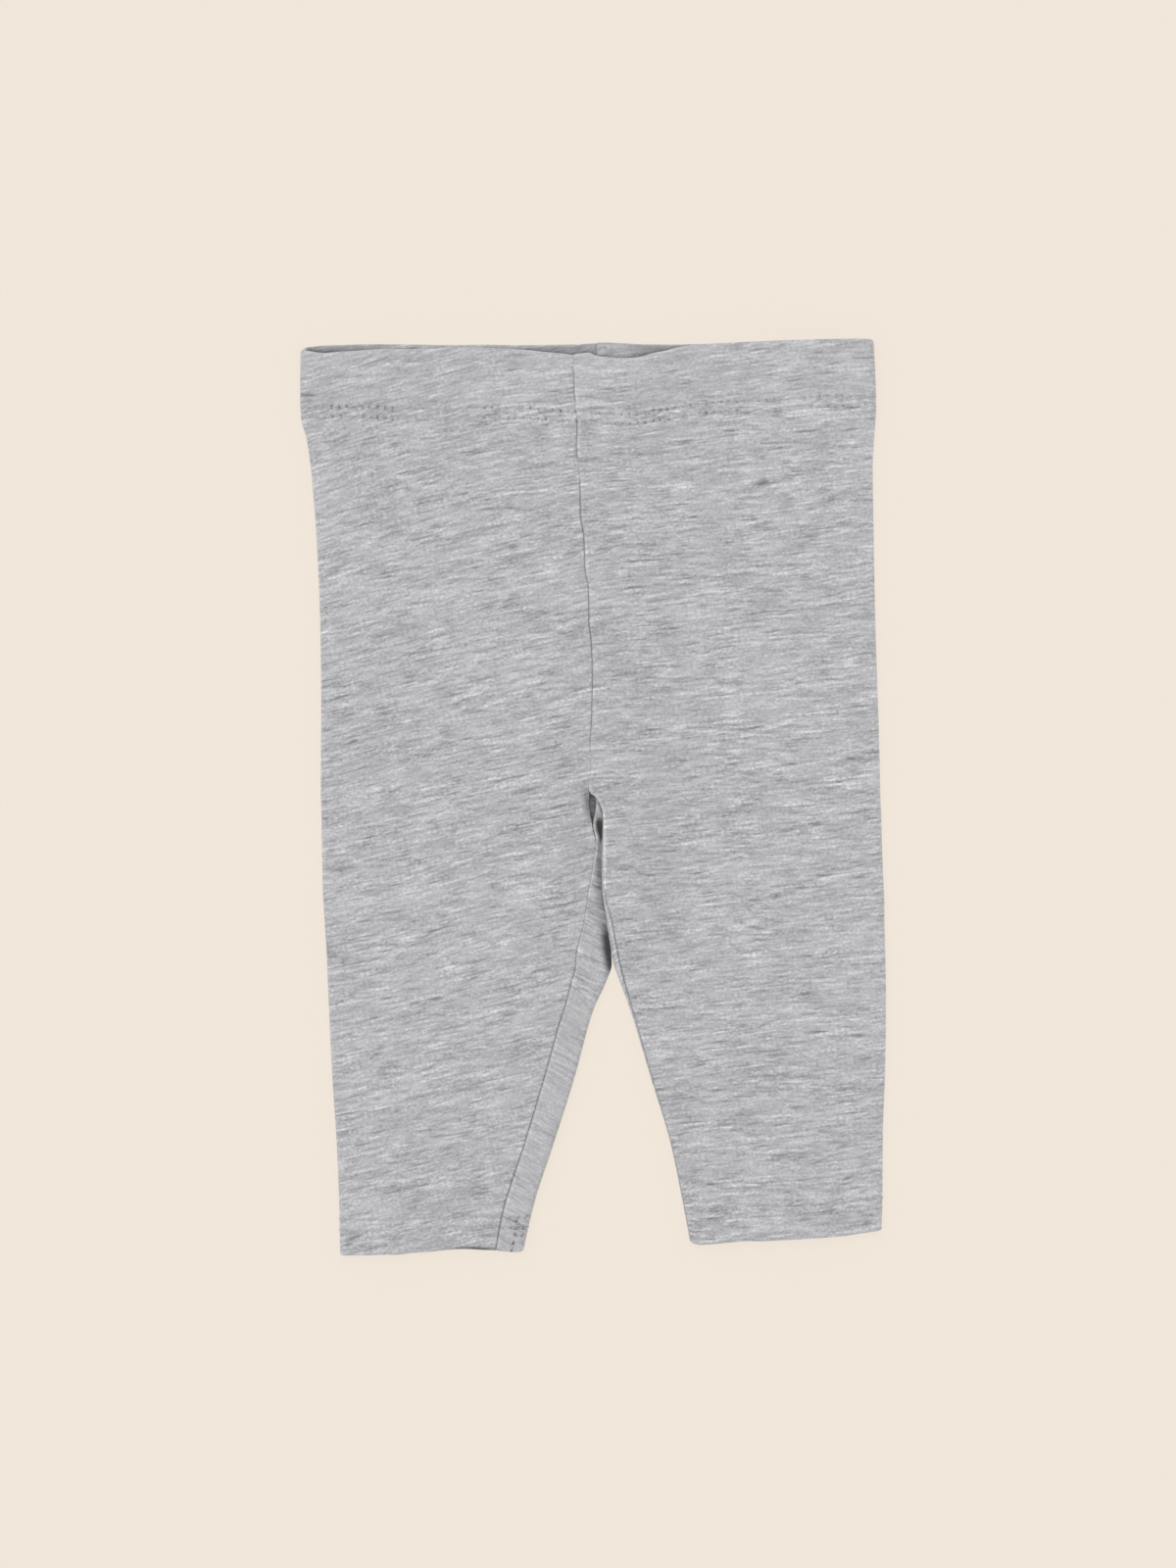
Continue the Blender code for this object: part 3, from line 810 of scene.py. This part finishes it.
# Faces between the ring's lines, and those that close the wall along the two seams
def ringFaces(count, rows, across, foldedEnd):
    faces = []
    for r in range(count):
        here, below = r * across, (r + 1) % count * across
        for c in range(across - 1):
            faces.append((here + c, here + c + 1, below + c + 1, below + c))
    innerTop = (2 * rows if foldedEnd == "top" else count) - 1
    caps = [(r, r + 1, innerTop - r - 1, innerTop - r) for r in range(rows - 1)]
    if foldedEnd == "top":
        caps.append((*range(innerTop, count), 0))
    if foldedEnd == "bottom":
        caps.append(tuple(range(rows - 1, count - rows + 1)))
    for c, way in ((0, 1), (across - 1, -1)):
        faces += [tuple(line * across + c for line in cap)[::way] for cap in caps]
    return faces


# A cloth piece between two levels. Its outer face, the fold at one end if it has one and its
# inner face make one ring of rows, and faces close it along the seams.
def clothPiece(name, leg, levels, wall, foldedEnd=None):
    first = [] if foldedEnd == "top" else [levels[0] - grid["beyond"]]
    last = [] if foldedEnd == "bottom" else [levels[-1] + grid["beyond"]]
    cuts = [cutAt(leg, level) for level in first + levels + last]
    stations = [columnsOf(cut) for cut in cuts]
    found = [[placeOn(cut, s) for s in line] for cut, line in zip(cuts, stations)]
    normals = normalsOf([[place for place, _, _ in line] for line in found], leg["side"])
    outer, inner = [], []
    keep = range(len(first), len(cuts) - len(last))
    for r in keep:
        pairs = [spotPair(cuts[r], *station, wall, foldedEnd)
                 for station in zip(stations[r], found[r], normals[r])]
        outer.append([pair[0] for pair in pairs])
        inner.append([pair[1] for pair in pairs])

    ring = list(outer)
    if foldedEnd == "bottom":
        ring += foldOver(outer[-1], inner[-1], outer[-2], -1)
    ring += inner[::-1]
    if foldedEnd == "top":
        ring += foldOver(outer[0], inner[0], outer[1], 1)[::-1]
    spots = [spot for line in ring for spot in line]
    faces = ringFaces(len(ring), len(outer), len(outer[0]), foldedEnd)
    if leg["side"] == left:
        faces = [face[::-1] for face in faces]

    mesh = bpy.data.meshes.new(name)
    mesh.from_pydata([spot.place * mm for spot in spots], [], faces)
    mesh.shade_smooth()
    mesh.set_sharp_from_angle(angle=math.radians(grid["sharpAngle"]))
    plan = mesh.uv_layers.new(name="clothPlan")
    corners = [0] * len(mesh.loops)
    mesh.loops.foreach_get("vertex_index", corners)
    plan.data.foreach_set("uv", [value * mm for i in corners for value in spots[i].plan])
    for label in ("marks", "stitch", "wear"):
        storeVectors(mesh, label, [getattr(spot, label) for spot in spots])
    layer = mesh.attributes.new("calm", "FLOAT", "POINT")
    layer.data.foreach_set("value", [spot.calm for spot in spots])
    widths = [stations[r][-1] for r in keep]
    area = sum((a + b) / 2 * (levels[k + 1] - levels[k])
               for k, (a, b) in enumerate(zip(widths, widths[1:])))
    return linked(name, mesh), max(widths), area


# A socket that sums can be written with
class Wire:
    def __init__(self, board, socket):
        self.board = board
        self.socket = socket

    def math(self, operation, *others):
        return self.board.math(operation, self, *others)

    def __neg__(self):
        return self * -1.0


def addOperator(symbol, operation):
    def reflected(self, other):
        return self.board.math(operation, other, self)

    setattr(Wire, f"__{symbol}__", lambda self, other: self.math(operation, other))
    setattr(Wire, f"__r{symbol}__", reflected)


for symbol, operation in (("add", "ADD"), ("sub", "SUBTRACT"), ("mul", "MULTIPLY"),
                          ("truediv", "DIVIDE"), ("pow", "POWER")):
    addOperator(symbol, operation)


class Board:
    def __init__(self, tree):
        self.tree = tree

    # Values or links for a node's sockets
    def fill(self, node, inputs):
        for key, value in inputs.items():
            if isinstance(value, Wire):
                self.tree.links.new(value.socket, node.inputs[key])
            else:
                node.inputs[key].default_value = value

    # The output, or the outputs where a tuple names several, of a new node
    def add(self, kind, output, inputs=None, **settings):
        node = self.tree.nodes.new(kind)
        for key, value in settings.items():
            setattr(node, key, value)
        self.fill(node, inputs or {})
        if isinstance(output, tuple):
            return [Wire(self, node.outputs[key]) for key in output]
        return Wire(self, node.outputs[output])

    def math(self, operation, *values):
        return self.add("ShaderNodeMath", 0, dict(enumerate(values)), operation=operation)

    def between(self, value, low, high, outLow=0.0, outHigh=1.0):
        inputs = {"Value": value, "From Min": low, "From Max": high,
                  "To Min": outLow, "To Max": outHigh}
        return self.add("ShaderNodeMapRange", "Result", inputs, interpolation_type="SMOOTHSTEP")

    def vector(self, x=0.0, y=0.0, z=0.0):
        return self.add("ShaderNodeCombineXYZ", "Vector", {"X": x, "Y": y, "Z": z})

    def apart(self, vector):
        return self.add("ShaderNodeSeparateXYZ", ("X", "Y", "Z"), {"Vector": vector})

    # The mesh's own attribute
    def stored(self, label, output="Vector"):
        return self.add("ShaderNodeAttribute", output, attribute_name=label)

    def grains(self, x, y, length, width, seed, detail=0.0, roughness=0.5):
        inputs = {"Vector": self.vector(x / length, y / width, seed), "Scale": 1.0,
                  "Detail": detail, "Roughness": roughness}
        return self.add("ShaderNodeTexNoise", 0, inputs)


def newMaterial(name):
    material = bpy.data.materials.new(name)
    material.use_nodes = True
    board = Board(material.node_tree)
    return material, board, material.node_tree.nodes["Principled BSDF"]


jersey = {
    "grey": (0.436, 0.4405, 0.459),
    # A layer's depth, its grains' length and width, its seed, and then detail and roughness
    "wander": (2, 42, 30, 2),
    "streak": (0.98, 13, 2.4, 11, 2, 0.7),
    "wisp": (0.53, 4.4, 1.2, 23, 1),
    "speck": (0.86, 1.15, 0.92, 31, 1),
    "cloud": (0.45, 20, 8, 5, 3),
    "field": (0.22, 45, 24, 7, 2),
    "tick": (1.3, 2.4, 0.95, 97, 1),
    "sway": (1.5, 2.1, 7, 91),
    "lean": (1.6, 2.7, 7, 95),
    # A patch's grains and seed, and the range that is spread over the range after it
    "quietPatch": ((15, 8, 3, 1), (0.36, 0.64, 0.75, 1.18)),
    "seamPatch": ((4, 12, 71), (0.3, 0.65, 0.6, 1)),
    "rowPatch": ((9, 8, 83, 1), (0.3, 0.6, 0.6, 1)),
    "holePatch": ((1.7, 3, 87), (0.36, 0.56, 0.5, 1)),
    # Length, width, seed and how much lighter or darker
    "dashes": ((12, 1.3, 47, 0.19), (7, 1.15, 53, 0.13), (8.5, 1.1, 61, -0.18),
               (5.5, 1.1, 67, -0.16)),
    "dashRange": (0.56, 0.76),
    "dashBreaks": (-0.1032, 0.086),
    "brokenDash": (0.65, 0.7),  # a dash's share where it is broken, and what is added elsewhere
    "quietSpecks": (0.4, 0.6),  # the specks' share that stays in a quiet patch, and the rest
    "shadeAt": 0.8,
    "shadeDepth": 0.3,
    "shadeRange": (0.6, 0.8),
    "darkest": 0.45,
    "lightest": 1.75,
    "wale": 0.8,
    "course": 0.57,
    "loopLean": 1.3,
    "betweenLoops": (0.5, 0.36),
    "insideLoop": (0.0, 0.1),
    "holeRange": (0.95, 0.15),
    "holeLength": 0.8,
    "tackHoles": 0.9,
    "tickReach": 4.2,
    "tickRange": (1.0, 0.6),
    # Painted shade on the inner face, in the seams' grooves, in the needle holes and in the
    # hollows; the slub's darker yarn is its own colour; and painted light along the ridges and
    # folds
    "insideDark": 0.45,
    "seamDark": 0.45,
    "holeDark": 0.78,
    "paintedShadingDark": 0.9,
    "slubDark": (0.28, 0.32),  # on the loops, and how much more between them
    "rimLight": 0.07,
    "knitHeight": 0.5,
    "toneHeight": 0.6,
    "holeHeight": 1.2,
    "bump": 0.5,
    "bumpDistance": 0.00022,
    "roughness": 0.92,
    "specular": 0.2,
    "sheen": 0.5,
    "sheenRoughness": 0.5,
}


def jerseyMaterial(name):
    material, board, shader = newMaterial(name)
    u, v, _ = board.apart(board.add("ShaderNodeUVMap", "UV", uv_map="clothPlan"))
    u, v = u * 1000.0, v * 1000.0

    def layer(kind, x, y):
        depth, *grains = jersey[kind]
        return (board.grains(x, y, *grains) - 0.5) * depth

    def patch(kind, x, y):
        grains, spread = jersey[kind]
        return board.between(board.grains(x, y, *grains), *spread)

    v = v + layer("wander", u, v)
    # Quiet patches lie between patches with strong streaks
    quiet = patch("quietPatch", u, v)
    specks = layer("speck", u, v)
    staying, rest = jersey["quietSpecks"]
    tone = (layer("streak", u, v) + layer("wisp", u, v)) * quiet
    tone = tone + specks * (quiet * rest + staying)
    tone = tone + layer("cloud", u, v) + layer("field", u, v)

    # Dashes of white and of black fibre, each with its other side in the shade
    broken, added = jersey["brokenDash"]
    whole = broken + added * board.between(specks, *jersey["dashBreaks"])
    for *grains, depth in jersey["dashes"]:
        dash = board.between(board.grains(u, v, *grains), *jersey["dashRange"])
        under = board.grains(u, v + jersey["shadeAt"], *grains)
        dash = dash - board.between(under, *jersey["shadeRange"]) * jersey["shadeDepth"]
        tone = tone + dash * quiet * whole * depth
    tone = tone * (1.0 - board.stored("calm", "Fac"))
    shade = (1.0 + tone).math("MINIMUM", jersey["lightest"]).math("MAXIMUM", jersey["darkest"])

    # Knitted loops: wales run across the courses, each with two leaning legs
    legSide = ((u / jersey["wale"]).math("FRACT") - 0.5).math("ABSOLUTE")
    course = v / jersey["course"] + legSide * jersey["loopLean"]
    loop = (course * (2 * math.pi)).math("COSINE") * 0.5 + 0.5
    valley = board.between(legSide, *jersey["betweenLoops"])
    valley = valley * board.between(legSide, *jersey["insideLoop"])

    # Painted shade along the seams and on the inner face, and painted light along ridges and folds
    seam, rim, inside = board.apart(board.stored("marks"))
    run, row, fromTack = board.apart(board.stored("stitch"))
    # The stitch rows' clearness, the slub, and the painted shade and light of the hollows and
    # patches
    show, thick, paintedShading = board.apart(board.stored("wear"))

    # Needle holes, painted as shade at even steps along the two rows and along the tack
    sway, lean = layer("sway", run, row), layer("lean", run, row)

    def holes(way, pitch, away):
        step = (((way + lean) / pitch + 0.5).math("FRACT") - 0.5) * pitch
        aside = away + sway
        distance = ((step * step) * jersey["holeLength"] + aside * aside) ** 0.5
        return board.between(distance, *jersey["holeRange"])

    secondRow = row - stitching["rowGap"]
    nearRow = row.math("ABSOLUTE").math("MINIMUM", secondRow.math("ABSOLUTE"))
    pit = holes(run, stitching["pitch"], nearRow) * show
    pit = pit * patch("rowPatch", run, row) * patch("holePatch", run, row)
    pit = pit.math("MAXIMUM", holes(row, tack["pitch"], fromTack) * jersey["tackHoles"])

    # The thread pulls the loops between the two rows into short light and dark ticks
    middle = (row - stitching["rowGap"] / 2) / jersey["tickReach"]
    ticks = board.between(middle.math("ABSOLUTE"), *jersey["tickRange"]) * show
    ticks = ticks * layer("tick", u, v)

    # Painted shade on the inner face, in the seams' grooves, in the needle holes and in the
    # hollows, and the slub's own darker yarn
    onLoops, more = jersey["slubDark"]
    for darker in (inside * jersey["insideDark"],
                   seam * patch("seamPatch", u, v) * jersey["seamDark"],
                   pit * jersey["holeDark"], paintedShading * jersey["paintedShadingDark"],
                   thick * (onLoops + more * valley)):
        shade = shade * (1.0 - darker)
    # Painted light along the seams' ridges, the folds, the band's top edge and the hem's edge, and
    # then the ticks
    shade = shade * (1.0 + rim * jersey["rimLight"]) * (1.0 + ticks)
    height = loop * valley * jersey["knitHeight"] + tone * jersey["toneHeight"]
    bump = {"Strength": jersey["bump"], "Distance": jersey["bumpDistance"],
            "Height": height - pit * jersey["holeHeight"]}
    board.fill(shader, {
        "Base Color": board.add("ShaderNodeVectorMath", "Vector",
                                {0: jersey["grey"], "Scale": shade}, operation="SCALE"),
        "Normal": board.add("ShaderNodeBump", "Normal", bump),
        "Roughness": jersey["roughness"],
        "Specular IOR Level": jersey["specular"],
        "Sheen Weight": jersey["sheen"],
        "Sheen Roughness": jersey["sheenRoughness"],
    })
    return material


def threadMaterial(name, colour):
    material, board, shader = newMaterial(name)
    spot = board.add("ShaderNodeTexCoord", "Object")
    inputs = {"Vector": spot, "Scale": stitching["twistScale"], "Detail": 1.0}
    twist = board.add("ShaderNodeTexNoise", 0, inputs)
    dark = [part * stitching["shaded"] for part in colour[:3]] + [1.0]
    inputs = {0: board.between(twist, *stitching["twistRange"]), 6: dark, 7: colour}
    bump = {"Strength": 0.6, "Distance": 0.0001, "Height": twist}
    board.fill(shader, {
        "Base Color": board.add("ShaderNodeMix", 2, inputs, data_type="RGBA"),
        "Normal": board.add("ShaderNodeBump", "Normal", bump),
        "Roughness": 0.7,
        "Specular IOR Level": 0.3,
    })
    return material


print("materials")
jerseyLook = jerseyMaterial("greyMarlJersey")
bandLook = jerseyMaterial("greyMarlBand")
hemLook = jerseyMaterial("greyMarlHem")
threadLook = threadMaterial("greyThread", stitching["colour"])

print("cloth pieces")
sideNames = {right: "right", left: "left"}
flatSizes = {}
stitchHolders = {}
for side, leg in legs.items():
    sideName = sideNames[side]
    hemTop = leg["end"] - hem["depth"]
    # Each pair is a level and the distance between the rows up to it
    bandLevels = levelsBetween([(band["wall"] / 2, 0), (3, 0.6), (14, 1.4), (band["depth"], 0.6)])
    legLevels = levelsBetween([(band["depth"], 0), (31, 0.65), (150, 1.35), (250, 1.05),
                               (hemTop - 5, 1.35), (hemTop, 0.7)])
    hemLevels = levelsBetween([(hemTop, 0), (leg["end"] - 3, 0.65),
                               (leg["end"] - hem["wall"] / 2, 0.5)])
    for part, node, levels, wall, folded, look, slot in (
        ("Band", "waistband", bandLevels, band["wall"], "top", bandLook, "waistband_jersey"),
        ("Leg", "leg", legLevels, cloth["wall"], None, jerseyLook, "jersey"),
        ("Hem", "hem", hemLevels, hem["wall"], "bottom", hemLook, "hem_jersey"),
    ):
        piece, width, area = clothPiece(f"{sideName}{part}Cloth", leg, levels, wall, folded)
        piece.data.materials.append(look)
        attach(piece, "root")
        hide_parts(f"{sideName}_{node}")
        extent = levels[-1] - levels[0] + (wall / 2 if folded else 0.0)
        flatSizes[piece.name] = (piece, width * mm, extent * mm, area * mm * mm)
        print("  ", piece.name, len(piece.data.polygons), "faces")


# Stitches: one thread arc on every point, laid along "run" with its top towards "up"
def stitchTree():
    tree = bpy.data.node_groups.new("stitchRow", "GeometryNodeTree")
    tree.interface.new_socket("Geometry", in_out="OUTPUT", socket_type="NodeSocketGeometry")
    sockets = {}
    for label, kind in (("Geometry", "Geometry"), ("Thread radius", "Float"),
                        ("Stitch length", "Float"), ("Rise", "Float"), ("Dip", "Float"),
                        ("Unevenness", "Float"), ("Seed", "Int"), ("Thread", "Material")):
        socket = tree.interface.new_socket(label, in_out="INPUT", socket_type="NodeSocket" + kind)
        sockets[label] = socket.identifier
    board = Board(tree)
    points, radius, length, rise, dip, uneven, seed, material = board.add(
        "NodeGroupInput", tuple(sockets))
    reach = length / 2.0
    arc = board.add("GeometryNodeCurveQuadraticBezier", "Curve", {
        "Resolution": 6, "Start": board.vector(-reach, 0.0, -dip),
        "Middle": board.vector(0.0, 0.0, rise * 2.0 + dip), "End": board.vector(reach, 0.0, -dip)})
    circle = board.add("GeometryNodeCurvePrimitiveCircle", "Curve",
                       {"Resolution": 6, "Radius": radius}, mode="RADIUS")
    thread = board.add("GeometryNodeCurveToMesh", "Mesh",
                       {"Curve": arc, "Profile Curve": circle, "Fill Caps": True})
    thread = board.add("GeometryNodeSetShadeSmooth", "Geometry", {"Geometry": thread})
    run, up = (board.add("GeometryNodeInputNamedAttribute", "Attribute", {"Name": label},
                         data_type="FLOAT_VECTOR") for label in ("run", "up"))
    turn = board.add("FunctionNodeAxesToRotation", "Rotation",
                     {"Primary Axis": up, "Secondary Axis": run},
                     primary_axis="Z", secondary_axis="X")
    # The float sockets of Random Value are its third and fourth, and its second output
    scale = board.add("FunctionNodeRandomValue", 1,
                      {2: 1.0 - uneven, 3: 1.0 + uneven, "Seed": seed}, data_type="FLOAT")
    laid = board.add("GeometryNodeInstanceOnPoints", "Instances",
                     {"Points": points, "Instance": thread, "Rotation": turn, "Scale": scale})
    real = board.add("GeometryNodeRealizeInstances", "Geometry", {"Geometry": laid})
    done = board.add("GeometryNodeSetMaterial", "Geometry",
                     {"Geometry": real, "Material": material})
    board.add("NodeGroupOutput", (), {"Geometry": done})
    return tree, sockets


stitchGroup, stitchSockets = stitchTree()


# A point on the finished surface with its normal, run along the section and run along the leg
def surfaceAt(leg, level, s):
    reach = stitching["probe"]
    cut = cutAt(leg, level)
    s = max(0.0, min(cut.length, s))
    place, upper, lower = placeOn(cut, s)
    across = placeOn(cut, min(s + reach, cut.length))[0]
    across -= placeOn(cut, max(s - reach, 0))[0]
    above, below = cutAt(leg, level - reach), cutAt(leg, level + reach)
    down = placeOn(below, s)[0] - placeOn(above, s)[0]
    normal = (across.cross(down) * -leg["side"]).normalized()
    relief = reliefOn(cut, s, place, upper, lower)
    lift = stitching["liftAbove"] * (1 - lower) + stitching["liftBelow"] * lower
    return place + normal * (relief + lift), normal, across.normalized(), down.normalized()


def stitchPiece(name, points, length, seed):
    mesh = bpy.data.meshes.new(name)
    mesh.from_pydata([place * mm for place, _, _ in points], [], [])
    for label, k in (("up", 1), ("run", 2)):
        storeVectors(mesh, label, [point[k] for point in points])
    holder = linked(name + "Points", mesh)
    sew = holder.modifiers.new("sew", "NODES")
    sew.node_group = stitchGroup
    values = {
        "Thread radius": stitching["threadRadius"] * mm,
        "Stitch length": length * mm,
        "Rise": stitching["threadRise"] * mm,
        "Dip": stitching["threadDip"] * mm,
        "Unevenness": stitching["unevenness"],
        "Seed": seed,
        "Thread": threadLook,
    }
    for label, value in values.items():
        sew[stitchSockets[label]] = value
    graph = bpy.context.evaluated_depsgraph_get()
    sewn = bpy.data.meshes.new_from_object(holder.evaluated_get(graph), depsgraph=graph)
    sewn.name = name
    bpy.data.objects.remove(holder)
    piece = linked(name, sewn)
    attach(piece, "root")
    return piece


def rowLevel(leg, s, rowIndex, atHem):
    if atHem:
        return leg["end"] - stitching["hemRow"] - rowIndex * stitching["rowGap"]
    level = stitching["waistRow"]
    for _ in range(2):
        x = placeOn(cutAt(leg, level), s)[0].x
        level = read(waistRow, x)[0] + rowIndex * stitching["rowGap"]
    return level


print("stitches")
pitch = stitching["pitch"]
for side, leg in legs.items():
    for part, atHem, seed in (("Waist", False, 5), ("Hem", True, 9)):
        points = []
        for rowIndex in (0, 1):
            level = rowLevel(leg, stitching["measureAt"], rowIndex, atHem)
            length = cutAt(leg, level).length
            for k in range(int(length / pitch)):
                s = (k + 0.5) * pitch
                level = rowLevel(leg, s, rowIndex, atHem)
                place, normal, across, _ = surfaceAt(leg, level, s)
                points.append((place, normal, across))
        name = f"{sideNames[side]}{part}Stitches"
        stitchHolders[(side, part)] = stitchPiece(name, points, stitching["threadLength"], seed)


def tackPoint(fromEnd, distance, runsDown):
    leg = legs[tack["side"]]
    level = leg["end"] - fromEnd
    length = cutAt(leg, level).length
    place, normal, across, down = surfaceAt(leg, level, length - distance)
    return place, normal, down if runsDown else across


tackPoints = [tackPoint(fromEnd, tack["at"], True) for fromEnd in tack["along"]]
tackPoints += [tackPoint(fromEnd, distance, False)
               for fromEnd in tack["across"] for distance in tack["acrossAt"]]
hemTack = stitchPiece("rightHemTack", tackPoints, tack["threadLength"], 17)

for side, sideName in sideNames.items():
    hemPieces = [stitchHolders[(side, "Hem")]] + ([hemTack] if side == tack["side"] else [])
    for part, stitchPieces in (("Band", [stitchHolders[(side, "Waist")]]), ("Leg", []),
                               ("Hem", hemPieces)):
        piece, width, length, area = flatSizes[f"{sideName}{part}Cloth"]
        print("  ", piece.name, "flat", round(width / mm, 1), round(length / mm, 1))

print("floor, light and camera")
studio = {
    "floorColour": (0.865, 0.785, 0.697, 1.0),
    "floorSize": 6.0,
    "floorGlow": 0.9,
    "ambient": 0.86,
    "ambientColour": (1.0, 0.985, 0.97, 1.0),
    "keyStrength": 0.95,
    "keyFrom": (-0.48, 0.4, 1.0),
    "keySoftness": 50.0,
}
bpy.ops.mesh.primitive_plane_add(size=studio["floorSize"])
floor = bpy.context.object
floor.name = "floor"
floorLook, board, shader = newMaterial("creamFloor")
board.fill(shader, {
    "Base Color": [part * (1 - studio["floorGlow"]) for part in studio["floorColour"][:3]] + [1.0],
    "Roughness": 1.0,
    "Specular IOR Level": 0.0,
    "Emission Color": studio["floorColour"],
    "Emission Strength": studio["floorGlow"],
})
floor.data.materials.append(floorLook)

world = bpy.data.worlds.new("studio")
bpy.context.scene.world = world
world.use_nodes = True
background = world.node_tree.nodes["Background"]
background.inputs["Color"].default_value = studio["ambientColour"]
background.inputs["Strength"].default_value = studio["ambient"]

keyLight = bpy.data.lights.new("key", "SUN")
keyLight.energy = studio["keyStrength"]
keyLight.angle = math.radians(studio["keySoftness"])
key = linked("key", keyLight)
key.rotation_euler = (-Vector(studio["keyFrom"])).to_track_quat("-Z", "Y").to_euler()

lens = {"focal": 85.0, "sensor": 36.0, "height": 1.364, "x": -0.0016, "y": 0.0047}
cameraData = bpy.data.cameras.new("overhead")
cameraData.lens = lens["focal"]
cameraData.sensor_fit = "AUTO"
cameraData.sensor_width = lens["sensor"]
camera = linked("overhead", cameraData)
camera.location = (lens["x"], lens["y"], lens["height"])
bpy.context.scene.camera = camera
bpy.context.scene.view_settings.view_transform = "Standard"
